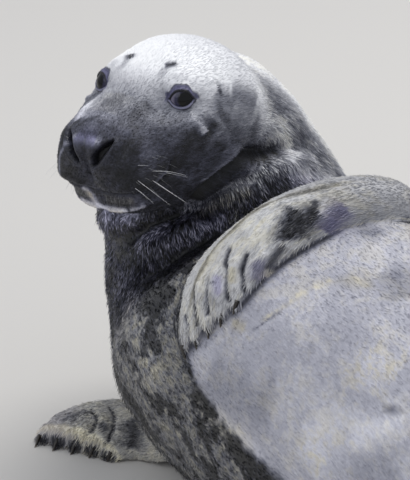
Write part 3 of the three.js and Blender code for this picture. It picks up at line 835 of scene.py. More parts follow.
s, a = alongBody, roundBody
x, y, z = np.abs(inHead[:, 0]), inHead[:, 1], inHead[:, 2]
body = 1 - headShare
upperSide = 0.5 + 0.5 * np.cos(np.radians(a))  # 1 along the back, 0 on the belly
left, right = flipperShare["left_fore"], flipperShare["right_fore"]
hind = np.maximum(flipperShare["left_hind"], flipperShare["right_hind"])
limbs = np.maximum(np.maximum(left, right), hind)
# the smooth pale belly starts at a slanting line across the chest
bellyLine = np.interp(a, [0, 90, 120, 145, 170, 188, 195, 200, 202.5, 204.5, 206.5, 225, 260, 360],
                      [980, 900, 800, 740, 700, 670, 690, 732, 766, 815, 1060, 1250, 1400, 1400])
belly = body * smoothStep(-11, 15, s - bellyLine) * smoothStep(85, 130, a) * smoothStep(290, 240, a) \
    * smoothStep(1620, 1350, s) * (1 - left)
neckDark = body * smoothStep(300, 370, s) * smoothStep(0.66, 0.4, upperSide) * (1 - belly) * smoothStep(1100,
    760, s) * (1 - limbs)
nape = body * smoothStep(0.60, 0.92, upperSide) * smoothStep(620, 300, s)

# tone: how light the coat is, from 0, black, to 1, white; mottled: how uneven; patchy: how spotted
tone = np.full(len(s), 0.50)
tone = towards(tone, 0.36, body * smoothStep(0.62, 0.85, upperSide))
tone = towards(tone, 0.14, neckDark)
tone = towards(tone, 0.25, neckDark * smoothStep(500, 600, s))
tone = towards(tone, 0.72, belly)
tone = towards(tone, 0.90, nape)
crownWay = 0.75 * y + 0.35 * z
tone = towards(tone, np.interp(crownWay, [5, 22, 45, 62, 78, 94], [0.16, 0.24, 0.40, 0.56, 0.76, 0.95]), headShare)
tone = towards(tone, 0.80, headShare * smoothStep(150, 230, z) * smoothStep(10, 60, y) * 0.7)
tone = towards(tone, 0.36, hind)
tone = towards(tone, 0.4, flipperShare["tail"])
tone = shaded(tone, [  # the head, the same on both sides
    ([(37, 44, 83), (35, 35, 64), (40, 22, 42)], 0.28, 9, 0.8), ([(0, 40, 54), (0, 30, 34)], 0.50, 14, 0.7),
    ([(56, 11, 46), (62, 0, 47), (69, 0, 66)], 0.30, 13, 0.7), ([(61, 17, 68), (64, 24, 84)], 0.33, 10, 0.6),
    ([(39, 10, 24), (50, -4, 26), (46, -18, 14), (60, -24, 32)], 0.07, 13, 1.0),
    ([(10, -34, 6), (34, -34, 8), (58, -36, 28), (62, -34, 50)], 0.08, 10, 0.95),
    ([(72, -6, 74), (80, -10, 87), (76, -25, 79), (83, 0, 95), (87, -4, 107), (86, -26, 108)], 0.11, 12, 0.9),
    ([(72, -40, 96), (82, -36, 112), (90, -28, 140)], 0.24, 12, 0.8),
    ([(88, -5, 112), (89, 1, 123), (89, 12, 136)], 0.12, 6.5, 0.9),
    ([(90, -14, 128), (91, -30, 146)], 0.14, 8, 0.85),
    ([(86, 32, 152), (87, 22, 145), (91, 10, 150), (92, -7, 157), (94, -24, 172)], 0.26, 7, 0.75),
    ([(91, -8, 146), (94, -2, 164), (96, 4, 180)], 0.45, 8, 0.7),
    ([(88, 34, 168), (93, 22, 188), (95, 8, 204)], 0.42, 16, 0.85),
    ([(80, 42, 150), (88, 30, 158), (92, 22, 170)], 0.40, 11, 0.8),
    ([(94, -14, 190), (96, -30, 205)], 0.30, 14, 0.7),
    ([(76, 37, 128), (81, 24, 124)], 0.60, 9.5, 0.9),
    ([(75, 30, 112), (80, 20, 112), (86, 7, 114)], 0.66, 6.2, 0.95),
    ([(86, 10, 112), (88, 2, 115)], 0.74, 4.5, 0.95), ([(78, 47, 158), (85, 34, 154)], 0.14, 2.0, 0.8),
    ([(25, 70, 126), (31, 71, 131), (34, 72, 136)], 0.10, 5.0, 1.0), ([(24, 66, 116), (34, 66, 118)], 0.5, 9, 0.5),
    ([(40, 63, 114), (51, 63, 122), (63, 56, 126), (69, 48, 128)], 0.84, 6.5, 0.9),
    ([(50, 36, 90), (60, 28, 95), (70, 26, 108)], 0.52, 4.5, 0.8),
    # the second stroke here is a painted highlight on the top of the nose pad
    ([(0, 27, 26), (0, 18, 16)], 0.36, 12, 0.9), ([(-22, 12, 13), (0, 13, 9), (20, 13, 13)], 0.56, 6.5, 0.9),
    ([(0, -8, 5), (8, -26, 8)], 0.20, 11, 0.9), ([(30, 20, 24), (26, 26, 32)], 0.14, 5, 0.7),
    ([(58, 1, 34), (63, -6, 45), (67, -14, 55)], 0.34, 12, 0.7),
    ([(75, -33, 79), (77, -43, 89), (75, -56, 103)], 0.32, 8, 0.7),
    ([(-9, -62, 22), (20, -64, 23), (36, -64, 26), (48, -62, 31), (56, -57, 38)], 0.30, 7, 0.9),
    ([(-9, -76, 31), (14, -76, 31), (25, -75, 32), (36, -73, 34)], 0.90, 5.4, 0.95),
    ([(36, -73, 34), (44, -71, 39), (51, -68, 46)], 0.74, 4.8, 0.9),
    ([(51, -69, 47), (56, -66, 55), (57, -68, 68)], 0.36, 5, 0.8),
    ([(-9, -67, 25), (20, -68, 26), (36, -68, 29), (50, -65, 38)], 0.12, 1.3, 0.8),
    ([(-9, -70, 27), (20, -71, 28), (36, -70, 31), (50, -66, 41)], 0.14, 1.2, 0.7),
    ([(75, -16, 72), (72, -25, 68), (69, -32, 63), (66, -37, 53), (63, -40, 41)], 0.46, 1.8, 0.8),
    ([(76, -14, 75), (74, -26, 73), (71, -38, 68), (66, -46, 58)], 0.05, 2.2, 0.9),
    ([(-9, -49, 17), (20, -48, 15), (36, -47, 18)], 0.34, 1.6, 0.7),
    # painted shadow under the chin
    ([(-9, -91, 44), (26, -91, 46), (50, -83, 54)], 0.10, 6, 0.9)])
tone = shaded(tone, [  # the far side only, turned from the flipper: painted reflection of the sky lightens its cheek and the rim of its whisker pad
    ([(-54, 36, 92), (-50, 36, 80), (-38, 33, 60), (-28, 32, 46)], 0.90, 14, 0.95),
    ([(-22, 42, 66), (-24, 46, 84)], 0.72, 12, 0.8),
    ([(-52, 0, 30), (-50, -16, 22)], 0.5, 6, 0.7),
    # painted reflection along the wet rim of the far whisker pad
    ([(-17, 13, 11), (-31, 2, 10), (-42, -10, 13), (-47, -22, 12), (-48, -36, 15), (-45, -45, 18)],
     0.62, 3.4, 0.85),
    ([(-32, -49, 15), (-21, -51, 16)], 0.34, 2.5, 0.8),
    # painted reflection on the far cheek
    ([(-60, 25, 78), (-37, 28, 47), (-26, 26, 30)], 0.90, 10, 0.85),
    ([(-29, 38, 64), (-17, 34, 44), (-12, 28, 28)], 0.62, 9, 0.7),
    ([(-22, -52, 18), (-14, -60, 20), (-10, -70, 26), (-5, -77, 31)], 0.86, 6.5, 0.9)], "oneSide")
shadedCreases = [  # painted shade in the folds of the neck and under the jaw, with no light tips in them
    ([(43, -120, 386), (44, -100, 393), (44, -87, 400), (42, -68, 407), (38, -50, 410), (31, -28, 412)],
     0.02, 6.5, 1.0),
    ([(-106, -133, 290), (-60, -131, 299), (-37, -116, 322), (-6, -98, 348), (30, -92, 378), (42, -70, 398),
      (39, -53, 410), (35, -32, 414), (24, -5, 408), (22, 20, 406), (16, 50, 400)], 0.0, 10, 1.0),
    ([(-22, -145, 252), (-4, -135, 272), (12, -119, 292), (24, -103, 307), (38, -83, 322), (44, -60, 337)],
     0.0, 6, 1.0),
    ([(-150, -118, 286), (-106, -133, 276), (-63, -136, 290)], 0.05, 5, 0.8)]
tone = shaded(tone, [  # the rolls between the folds, lighter partly by the coat's own strands and partly by painted highlight, then the chest and the belly
    ([(-66, -134, 278), (-29, -120, 307), (-8, -98, 329)], 0.32, 11, 0.9),
    ([(-6, -79, 348), (4, -64, 361), (16, -44, 376), (24, -21, 387)], 0.46, 11, 0.9),
    ([(24, -21, 387), (27, 0, 394), (26, 26, 396), (21, 57, 389)], 0.54, 12, 0.9),
    ([(15, -97, 318), (23, -81, 330), (29, -65, 339), (32, -46, 349)], 0.40, 8, 0.85),
    ([(-112, -130, 314), (-100, -135, 306), (-76, -128, 319), (-50, -118, 332)], 0.56, 15, 0.85),
    ([(-20, -140, 262), (-60, -142, 268), (-110, -128, 262)], 0.12, 22, 0.8),
    ([(6, -83, 337), (13, -65, 347), (19, -49, 358), (26, -34, 365), (32, -14, 370)], 0.42, 3.5, 0.8),
    ([(36, 24, 384), (32, 44, 382), (29, 74, 370), (21, 114, 348)], 0.92, 13, 0.9),
    ([(30, -2, 462), (11, 28, 434), (16, 46, 407), (11, 92, 375)], 0.82, 20, 0.8),
    ([(-31, -154, 231), (50, -178, 232), (89, -187, 212), (120, -191, 188)], 0.42, 22, 0.6),
    ([(132, -172, 256), (150, -179, 248), (166, -183, 237), (182, -187, 228), (207, -189, 218), (233, -190, 210),
      (267, -192, 204), (299, -192, 203), (345, -191, 206)], 0.07, 7, 0.9),
    ([(240, -187, 217), (273, -188, 214), (304, -189, 211), (333, -188, 212), (352, -188, 210)], 0.92, 7, 0.75),
    # painted shade of the belly's fold under the arm
    ([(334, -27, 394), (364, -29, 392), (395, -44, 385)], 0.44, 22, 0.7),
    ([(246, -120, 340), (302, -116, 345), (334, -97, 360)], 0.80, 22, 0.6),
    ([(472, -157, 281), (495, -142, 302), (519, -120, 323)], 0.92, 16, 0.7),
    ([(491, -136, 310), (501, -125, 321), (512, -112, 332)], 0.4, 2.6, 0.8),
    ([(432, -120, 334), (449, -109, 343), (478, -106, 341)], 0.80, 24, 0.6),
    ([(426, -175, 249), (450, -174, 248), (461, -165, 268)], 0.84, 20, 0.6),
    ([(228, -19, 438), (255, -9, 429), (280, 8, 408)], 0.45, 14, 0.8),
    ([(240, -39, 423), (262, -26, 411), (287, -9, 399)], 0.66, 12, 0.8),
    ([(402, -176, 252), (439, -162, 278), (510, -145, 295)], 0.84, 26, 0.6),
    ([(553, -148, 281), (490, -170, 252)], 0.60, 20, 0.6),
    ([(199, -177, 252), (247, -179, 249), (300, -177, 254), (341, -170, 271)], 0.56, 30, 0.75)] + shadedCreases, "table")
# painted highlight: a pale rim of light along the jaw's edge over the fold
tone = shaded(tone, [
    ([(51, -103, 406), (48, -87, 409), (47, -75, 415), (45, -62, 422), (44, -53, 428), (42, -44, 433)],
     0.50, 4.0, 0.9)], "table")
# painted shadow: the belly is darkened along the edge of the flipper that lies on it
flipperShadowLine = flipperPath("left_fore", [
    (0.45, 1), (0.6, 1), (0.75, 1), (0.9, 1), (1, 0.9), (1, 0.5), (1, 0.0), (1, -0.5), (1, -0.9)])
tone = towards(tone, 0.12, (1 - left) * paint([(flipperShadowLine, 0.85, 9)], "table"))
darkStreak = [(0.55, 0.52), (0.6, 0.68), (0.67, 0.86)]
rimLine = [(0.34, 0.27), (0.41, 0.25), (0.48, 0.12), (0.53, -0.15), (0.58, -0.42), (0.66, -0.42),
           (0.72, -0.5), (0.8, -0.42), (0.87, -0.5), (0.94, -0.6)]
lead, reachOut = place["left_fore"][:, 1], place["left_fore"][:, 0]
tone = towards(tone, 0.66 + 0.16 * smoothStep(0.35, 0.6, reachOut), left)
tone = shaded(tone, [
    ([(0.70, 0.08), (0.64, 0.24), (0.57, 0.34)], 0.90, 17, 0.8),
    (rimLine, 0.46, 3.4, 0.85),
    ([(0.80, 0.72), (0.84, 0.86), (0.89, 0.94)], 0.54, 8, 0.8),
    ([(0.9, -0.3), (0.93, 0.2), (0.94, 0.6)], 0.62, 9, 0.6),
    ([(0.56, 0.54), (0.6, 0.64), (0.66, 0.78), (0.69, 0.88)], 0.08, 15, 0.95),
    ([(0.52, 0.68), (0.55, 0.74), (0.6, 0.82), (0.65, 0.88)], 0.10, 13, 0.9),
    ([(0.49, 0.50), (0.54, 0.76), (0.58, 0.88)], 0.10, 4, 0.9),
    ([(0.70, 0.88), (0.78, 0.92), (0.84, 0.95)], 0.2, 5, 0.8),
    ([(0.42, 0.8), (0.5, 0.93), (0.56, 0.98)], 0.44, 12, 0.7), ([(0.87, 0.04), (0.875, 0.05)], 0.2, 3, 0.9),
    ([(0.83, 0.36), (0.90, 0.52)], 0.80, 4.5, 0.8), ([(0.82, 0.97), (0.87, 0.99)], 0.78, 4, 0.8)] + [
    # painted shade in the grooves between the digits
    (path, 0.12, 2.3, 0.92) for path, height, reach in leftForeForms[:5]], "left_fore")
tone = towards(tone, 0.66, right)
# the flipper on the floor: a pale ridge, and a dark front with a paler fringe under it
foot, footHigh = place["right_fore"][:, 0], place["right_fore"][:, 2]
tone = towards(tone, 0.86, right * bell(foot - 0.945, 0.03))
tone = towards(tone, 0.16, right * smoothStep(0.965, 0.985, foot))
tone = towards(tone, 0.62, right * smoothStep(0.965, 0.985, foot) * smoothStep(0.35, 0.1, footHigh))
tone = shaded(tone, [
    ([(0.86, -0.62), (0.83, -0.41), (0.77, -0.23)], 0.46, 10, 0.8), ([(0.73, -0.75), (0.62, -0.5)], 0.80, 8, 0.7),
    ([(0.79, 0.16), (0.82, 0.34), (0.84, 0.47)], 0.24, 5, 0.8),
    # painted shadow near the body, then painted shade in the two grooves
    ([(0.58, 0.38), (0.6, 0.71), (0.74, 0.95)], 0.14, 11, 0.9)] + [
    (path, 0.08, 1.9, 0.95) for path, height, reach in rightForeForms[:2]], "right_fore")
mottled = 0.75 - 0.5 * headShare * smoothStep(55, 90,
    crownWay) - 0.15 * headShare - 0.42 * belly - 0.42 * left - 0.2 * right + 0.4 * neckDark
mottled = shaded(mottled, [(darkStreak, 1.3, 22, 1.0)], "left_fore")
mottled = mottled - 0.25 * neckDark * smoothStep(500, 600, s) - 0.4 * nape
mottled = shaded(mottled, [([(0.86, -0.62), (0.83, -0.41), (0.77, -0.23), (0.7, -0.1)], 1.3, 14, 1.0)],
    "right_fore")
patchy = body * (1 - limbs) * (0.38 + 0.1 * smoothStep(700, 900,
    s)) * (1 - 0.85 * belly) * (1 - 0.8 * nape) * (1 - 0.5 * neckDark)
chest = neckDark * smoothStep(500, 600, s)
patchy = patchy + 0.5 * chest
rolls = [  # where the wet neck's tufts have silver tips
    ([(-66, -134, 278), (-29, -120, 307), (-8, -98, 329), (4, -64, 361), (16, -44, 376), (24, -21, 387),
     (27, 0, 394),
      (26, 26, 396), (21, 57, 389)], 1.0, 15),
    ([(-22, -124, 293), (15, -97, 318), (23, -81, 330), (29, -65, 339), (34, -40, 352)], 0.8, 10),
    ([(-112, -130, 314), (-100, -135, 306), (-76, -128, 319), (-50, -118, 332)], 0.9, 17)]
spiky = np.maximum(0.3 * neckDark * smoothStep(640, 480, s), (1 - limbs) * body * paint(rolls, "table"))
spiky = towards(spiky, 0.15, paint([(path, 1.0, reach) for path, _, reach, _ in shadedCreases], "table"))
# a thin pale line across the belly
strawLine = [(251, -139, 318), (262, -127, 333), (271, -112, 347), (278, -100, 358), (288, -89, 365),
    (301, -78, 373),
             (320, -69, 377), (339, -63, 380)]
cream = shaded(np.zeros(len(s)), [
    ([(8, -62, 22), (28, -64, 25), (48, -62, 32)], 1.0, 8, 1.0), ([(8, -79, 33), (30, -77, 36)], 0.7, 6, 1.0),
    ([(0, 48, 76), (0, 34, 42)], 0.3, 22, 1.0)])
cream = shaded(cream, [
    ([(190, -182, 222), (222, -188, 208), (262, -190, 204), (330, -192, 200)], 0.7, 12, 1.0),
    (strawLine, 1.0, 3.0, 1.0), ([(300, -62, 383), (350, -52, 388)], 0.9, 10, 0.9),
    ([(208, -149, 304), (236, -148, 308)], 0.9, 7, 1.0), ([(331, -173, 264)], 0.7, 9, 0.7),
    ([(240, -187, 217), (273, -188, 214), (304, -189, 211), (333, -188, 212)], 0.5, 8, 0.9),
    ([(6, -83, 337), (13, -65, 347), (19, -49, 358), (26, -34, 365), (32, -14, 370)], 1.0, 4.5, 1.0)], "table")
tone = shaded(tone, [
    ([(249, -146, 310), (255, -140, 316), (266, -128, 331), (275, -113, 345), (283, -102, 356),
     (292, -91, 363)], 0.4, 1.4, 0.7),
    (strawLine, 0.86, 2.4, 0.9)], "table")
cream = towards(cream, 0.15, left)
cream = shaded(cream, [
    (rimLine, 0.9, 4, 1.0),
    ([(0.83, 0.36), (0.90, 0.52)], 1.0, 5, 1.0), ([(0.82, 0.97), (0.87, 0.99)], 1.0, 5, 1.0)], "left_fore")
cream = towards(cream, 0.55, right)
cream = np.maximum(cream, right * bell(foot - 0.94, 0.035))
creamPatch = np.clip(0.42 * belly + 0.8 * neckDark * smoothStep(470, 560,
    s) + 0.3 * body * (1 - belly) + 0.15 * left, 0, 1) \
    * (1 - spiky)
creamPatch = shaded(creamPatch, [
    ([(410, -124, 330), (449, -109, 343), (490, -104, 341)], 1.0, 34, 0.9),
    ([(400, -178, 244), (450, -174, 248), (480, -160, 274)], 0.9, 26, 0.9)], "table")
upperLid, lowerLid = (smoothStep(low, high, lidUp) * smoothStep(10, 5, lidFar) for low,
    high in ((-1.5, 2), (1.5, -2)))
lidBand = smoothStep(9, 6.5, lidGap) * upperLid
violet = np.clip(0.55 * neckDark * smoothStep(600, 480, s) + 0.16 * belly + 0.25 * headShare * smoothStep(60,
    20, crownWay), 0, 1)
violet = np.maximum(violet, np.maximum(lidBand, 0.7 * smoothStep(4, 1, lidGap)))
violet = shaded(violet, [([(44, 48, 94), (50, 47, 97)], 1.0, 5.5, 1.0),
    # the lavender of the nose pad's top: partly its own colour, partly painted sheen
    ([(0, 12, 10), (14, 13, 13)], 0.8, 10, 1.0)])
violet = shaded(violet, [
    ([(0.42, 0.8), (0.5, 0.93), (0.56, 0.98)], 0.9, 14, 1.0), ([(0.85, 0.1), (0.92, 0.25)], 0.6, 6, 1.0),
    ([(0.80, 0.72), (0.84, 0.86), (0.89, 0.94)], 0.6, 9, 1.0)], "left_fore")
tone = towards(tone, 0.42, lidBand)
tone = towards(tone, 0.20, 0.8 * bell(lidGap - 8.2, 1.0) * upperLid)
tone = towards(tone, 0.18, 0.85 * smoothStep(6.5, 3, lidGap) * smoothStep(0.85, 1.05, lidAlong) * smoothStep(9,
    5, lidFar))
tone = towards(tone, 0.12, 0.85 * bell(lidGap - 3.4, 1.1) * lowerLid)
tone = shaded(tone, [([(44, 48, 94), (50, 47, 97)], 0.36, 5.5, 0.9)])
bare = np.maximum(paint([([(0, 12, 12), (0, 0, 4)], 1.0, 15), ([(24, 8, 10), (14, -8, 4)], 1.0, 7)]),
    1 - smoothStep(0.9, 1.6, slit))
bare = np.maximum(bare, 1 - smoothStep(1.4, 3.8, lidGap))
hollow = np.maximum(1 - smoothStep(0.45, 1.0, slit), 1 - smoothStep(-0.4, 0.6, lidGap))
mouth = paint([(headForms[1][0], 1.0, 1.6)])
# painted shadow: a black line along the upper lid's edge, where the lid shades the ball
tone = towards(tone, 0.04, smoothStep(2.6, 1.6, lidGap) * upperLid)
tone = towards(tone, 0.60, 0.9 * bell(lidGap - 1.2, 0.8) * lowerLid)
# painted shade: the nostrils, the gaps between lids and balls and the slit of the mouth are near black
tone = towards(tone, 0.02, np.maximum(hollow, 0.9 * mouth))
mottled = towards(mottled, 0.1, np.maximum(np.maximum(hollow, mouth), 0.7 * bare))
wet = np.clip(0.2 + 0.5 * neckDark + 0.3 * belly + 0.3 * left, 0, 1)
wet = shaded(wet, [(darkStreak, 1.0, 20, 1.0)], "left_fore")
wet = np.maximum(wet, bare)
sleek = np.clip(0.85 * belly + 0.5 * left + 0.6 * headShare * smoothStep(45, 80, crownWay), 0, 1)
masks = {"tone": np.clip(tone, 0, 1), "mottled": mottled, "sleek": sleek, "patchy": patchy, "spiky": spiky,
    "cream": cream,
         "creamPatch": creamPatch, "violet": violet, "bare": bare, "wet": wet}

# straightened places, so that streaks run along the coat wherever the seal bends
reachRound = bodySize(s).mean(-1)
coatCoord = np.stack([s, reachRound * np.cos(np.radians(a)), reachRound * np.sin(np.radians(a))], -1)
coatCoord = coatCoord * (1 - headShare)[:, None] + inHead[:, [2, 1, 0]] * headShare[:, None]
run = bodyFrame(s)[0]
faceLie = np.stack([0.55 * inHead[:, 0] / 60, 0.4 * inHead[:, 1] / 60, np.ones(len(s))], -1) @ headAxes
faceLie = faceLie - baseNormals * np.sum(faceLie * baseNormals, -1, keepdims=True)
lie = run * (1 - headShare)[:, None] + unit(faceLie) * headShare[:, None]
spans = {"left_fore": (330, 130), "right_fore": (240, 120), "left_hind": (330, 150), "right_hind": (330, 150)}
for name, (long, across) in spans.items():
    u, v, h = place[name].T
    share = reached[name]
    root = coatCoord[(share > 0.5) & (u < 0.25)].mean(0)
    flat = root + np.stack([u * long, v * across / 2, h * 30], -1)
    coatCoord = coatCoord * (1 - share)[:, None] + flat * share[:, None]
    high = np.full(len(u), 0.6)
    ahead = flipperPlaces[name](np.minimum(u + 0.02, 1), v, high, 0.0) - flipperPlaces[name](u - 0.02, v, high, 0.0)
    lie = lie * (1 - share)[:, None] + unit(ahead) * share[:, None]
coatCoord = near.smooth(coatCoord, 6)
normals = normalsOf(skinShaped)
lie = unit(near.smooth(lie - normals * np.sum(lie * normals, -1, keepdims=True), 6))

# the skin laid out flat: the body, the head and each flipper in a place of its own
skinMap = np.stack([(s - 200) / 1700 * 0.98 + 0.01, 0.02 + 0.52 * a / 360], -1)
headMap = np.stack([0.02 + 0.3 * inHead[:, 2] / 280,
    0.58 + 0.4 * (np.degrees(np.arctan2(inHead[:, 0], -inHead[:, 1])) % 360) / 360], -1)
skinMap = np.where((headShare > 0.5)[:, None], headMap, skinMap)
for i, name in enumerate(spans):
    u, v, h = place[name].T
    low = np.array([0.36 + 0.155 * i, 0.58])
    flat = low + np.stack([(v + 1) / 2 * 0.13, u * 0.19 + 0.2 * (h < 0.3)], -1)
    skinMap = np.where((flipperShare[name] > 0.5)[:, None], flat, skinMap)


def storeOn(mesh, name, values, kind="FLOAT"):
    layer = mesh.attributes.new(name, kind, "POINT")
    layer.data.foreach_set("value" if kind == "FLOAT" else "vector",
        np.ascontiguousarray(values, np.float32).ravel())


skin.name = "coatSkin"
skin.data.vertices.foreach_set("co", toScene(skinShaped).ravel())
skin.data.shade_smooth()
for name, values in masks.items():
    storeOn(skin.data, name, values)
storeOn(skin.data, "coatCoord", coatCoord / 1000, "FLOAT_VECTOR")
storeOn(skin.data, "lie", lie, "FLOAT_VECTOR")
skin.data.update()
print("marked the skin")


def linear(r, g, b):  # a colour as it looks, to the shader's own scale
    return tuple(c / 12.92 if c <= 0.04045 else ((c + 0.055) / 1.055) ** 2.4 for c in (r, g, b)) + (1.0,)


class Nodes:  # short ways to make and join shader nodes
    def __init__(self, tree):
        self.tree = tree

    def new(self, kind, values=(), **settings):
        node = self.tree.nodes.new(kind)
        for key, value in settings.items():
            setattr(node, key, value)
        for key, value in dict(values).items():
            if isinstance(value, bpy.types.NodeSocket):
                self.tree.links.new(value, node.inputs[key])
            else:
                node.inputs[key].default_value = value
        return node

    def attribute(self, name, output="Fac"):
        return self.new("ShaderNodeAttribute", attribute_name=name).outputs[output]

    def maths(self, operation, a, b=0.0, clamp=False):
        return self.new("ShaderNodeMath", {0: a, 1: b}, operation=operation, use_clamp=clamp).outputs[0]

    def scaled(self, vector, size):
        return self.new("ShaderNodeMapping", {"Vector": vector, "Scale": size}).outputs[0]

    def noise(self, vector, scale, detail=3.0, rough=0.55, distortion=0.0):
        return self.new("ShaderNodeTexNoise", {
            "Vector": vector, "Scale": scale, "Detail": detail, "Roughness": rough,
            "Distortion": distortion}).outputs["Fac"]

    def ramp(self, value, low, high, toLow=0.0, toHigh=1.0):
        return self.new("ShaderNodeMapRange", {
            "Value": value, "From Min": low, "From Max": high, "To Min": toLow, "To Max": toHigh},
            interpolation_type="SMOOTHSTEP").outputs[0]

    def mix(self, share, a, b, blend="MIX"):
        node = self.new("ShaderNodeMix", data_type="RGBA", blend_type=blend)
        for socket, value in ((node.inputs[0], share), (node.inputs[6], a), (node.inputs[7], b)):
            if isinstance(value, bpy.types.NodeSocket):
                self.tree.links.new(value, socket)
            else:
                socket.default_value = value
        return node.outputs[2]


def newMaterial(name, **plain):
    material = bpy.data.materials.new(name)
    material.use_nodes = True
    shader = material.node_tree.nodes["Principled BSDF"]
    for key, value in plain.items():
        shader.inputs[{"coat": "Coat Weight", "coatRough": "Coat Roughness", "sheen": "Sheen Weight",
                       "rough": "Roughness", "ior": "IOR", "colour": "Base Color",
                       "specular": "Specular IOR Level"}[key]].default_value = value
    return material, Nodes(material.node_tree), shader


coatTones = [  # how light, and the colour there
    (0.0, linear(0.03, 0.03, 0.035)), (0.12, linear(0.11, 0.11, 0.135)), (0.3, linear(0.28, 0.285, 0.325)),
    (0.5, linear(0.49, 0.495, 0.53)), (0.7, linear(0.70, 0.70, 0.72)), (0.88, linear(0.89, 0.89, 0.90)),
    (1.0, linear(0.97, 0.97, 0.97))]
coatGrain = {  # size of each noise along and across the coat, detail, roughness, distortion
    "streak": ((70, 520, 520), 4.0, 0.65, 0.3), "fine": ((240, 1500, 1500), 2.0, 0.6, 0.0),
    "blotch": ((15, 24, 24), 4.0, 0.62, 0.6), "mottle": ((70, 110, 110), 4.0, 0.62, 0.5),
}
coatTints = {"cream": linear(1.0, 0.97, 0.86), "violet": linear(0.85, 0.83, 1.0)}


def coatGroup():  # the coat's markings, one group for the skin and its tufts
    tree = bpy.data.node_groups.new("sealMarkings", "ShaderNodeTree")
    face = tree.interface
    face.new_socket("Shift", in_out="INPUT", socket_type="NodeSocketFloat").default_value = 0
    for name, kind in (("Colour", "NodeSocketColor"), ("Streaks", "NodeSocketFloat")):
        face.new_socket(name, in_out="OUTPUT", socket_type=kind)
    n = Nodes(tree)
    given, out = n.new("NodeGroupInput"), n.new("NodeGroupOutput")
    place = n.attribute("coatCoord", "Vector")
    streak, fine, blotch, mottle = [n.noise(n.scaled(place, size), 1.0, *rest) for size,
        *rest in coatGrain.values()]
    patches = n.ramp(n.maths("ADD", n.maths("MULTIPLY", blotch, 0.75), n.maths("MULTIPLY", mottle, 0.25)), 0.46,
        0.54)

    def swing(value, size):
        return n.maths("MULTIPLY", n.maths("SUBTRACT", value, 0.5), size)

    mottling = n.maths("MULTIPLY", swing(mottle, 0.8), n.maths("SUBTRACT", 1.0, n.attribute("sleek")))
    uneven = n.maths("ADD", n.maths("ADD", swing(blotch, 0.5), mottling),
                     n.maths("ADD", swing(streak, 0.75), swing(fine, 0.5)))
    value = n.maths("ADD", n.attribute("tone"), n.maths("MULTIPLY", uneven, n.attribute("mottled")))
    value = n.maths("ADD", value, n.maths("MULTIPLY", swing(patches, 0.5), n.attribute("patchy")))
    value = n.maths("ADD", value, given.outputs["Shift"], True)
    ramp = n.new("ShaderNodeValToRGB", {"Fac": value})
    stops = ramp.color_ramp.elements
    for k, (at, colour) in enumerate(coatTones):
        stop = stops[k] if k < 2 else stops.new(at)
        stop.position = at
    for stop, (at, colour) in zip(stops, coatTones):
        stop.position, stop.color = at, colour
    warm = n.maths("ADD", n.attribute("cream"), n.maths("MULTIPLY", n.attribute("creamPatch"), n.ramp(
        n.maths("ADD", n.maths("MULTIPLY", mottle, 0.5), n.maths("MULTIPLY", blotch, 0.5)), 0.46, 0.6)), True)
    colour = n.mix(warm, ramp.outputs[0], coatTints["cream"], "MULTIPLY")
    colour = n.mix(n.maths("MULTIPLY", n.attribute("violet"), 1.0, True), colour, coatTints["violet"], "MULTIPLY")
    tree.links.new(colour, out.inputs["Colour"])
    tree.links.new(n.maths("ADD", n.maths("MULTIPLY", streak, 0.6), n.maths("MULTIPLY", fine, 0.4)),
        out.inputs["Streaks"])
    return tree


markings = coatGroup()


def coatMaterial(name, tuft=False):
    material, n, shader = newMaterial(name, rough=0.55, coat=0.12, coatRough=0.3, sheen=0.03, specular=0.4)
    group = n.new("ShaderNodeGroup", node_tree=markings)
    if tuft:  # painted shade darkens each tuft towards its root, and those of the wet neck have silver tips
        one, along = n.attribute("tuftTone"), n.attribute("bladeAlong")
        apart = n.maths("MULTIPLY", n.maths("SUBTRACT", one, 0.5),
            n.maths("ADD", n.maths("MULTIPLY", n.attribute("mottled"), 0.26), 0.04))
        root = n.maths("MULTIPLY", n.ramp(along, 0.6, 0.0), n.maths("MULTIPLY", n.attribute("mottled"), -0.16))
        rough = n.maths("SUBTRACT", 1.0, n.maths("MULTIPLY", n.attribute("sleek"), 0.7))
        silver = n.maths("MULTIPLY", n.attribute("spiky"),
            n.maths("MULTIPLY", n.ramp(one, 0.1, 1.0), n.ramp(along, 0.0, 0.7, 0.1, 0.56)))
        n.tree.links.new(n.maths("ADD", n.maths("MULTIPLY", n.maths("ADD", apart, root), rough), silver),
            group.inputs["Shift"])
    n.tree.links.new(group.outputs["Colour"], shader.inputs["Base Color"])
    wet = n.attribute("wet")
    n.tree.links.new(n.ramp(n.maths("ADD", wet, n.maths("MULTIPLY", group.outputs["Streaks"], 0.3)), 0.1, 1.2,
        0.66, 0.28),
                     shader.inputs["Roughness"])
    if not tuft:
        pebbles = n.new("ShaderNodeTexVoronoi", {"Vector": n.attribute("coatCoord", "Vector"),
            "Scale": 900.0}).outputs["Distance"]
        height = n.new("ShaderNodeMix", {0: n.attribute("bare"), 2: group.outputs["Streaks"], 3: pebbles},
            data_type="FLOAT").outputs[0]
        bump = n.new("ShaderNodeBump", {"Strength": 0.55, "Distance": 0.0016, "Height": height})
        n.tree.links.new(bump.outputs[0], shader.inputs["Normal"])
    return material


skinMaterial, tuftMaterial = coatMaterial("sealSkin"), coatMaterial("sealTufts", True)
skin.data.materials.clear()
skin.data.materials.append(skinMaterial)
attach(skin, "root")
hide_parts("head", "neck", "chest", "belly", "rump", "tail", "left_fore_flipper",
            "right_fore_flipper", "left_hind_flipper", "right_hind_flipper")
print("finished the skin")


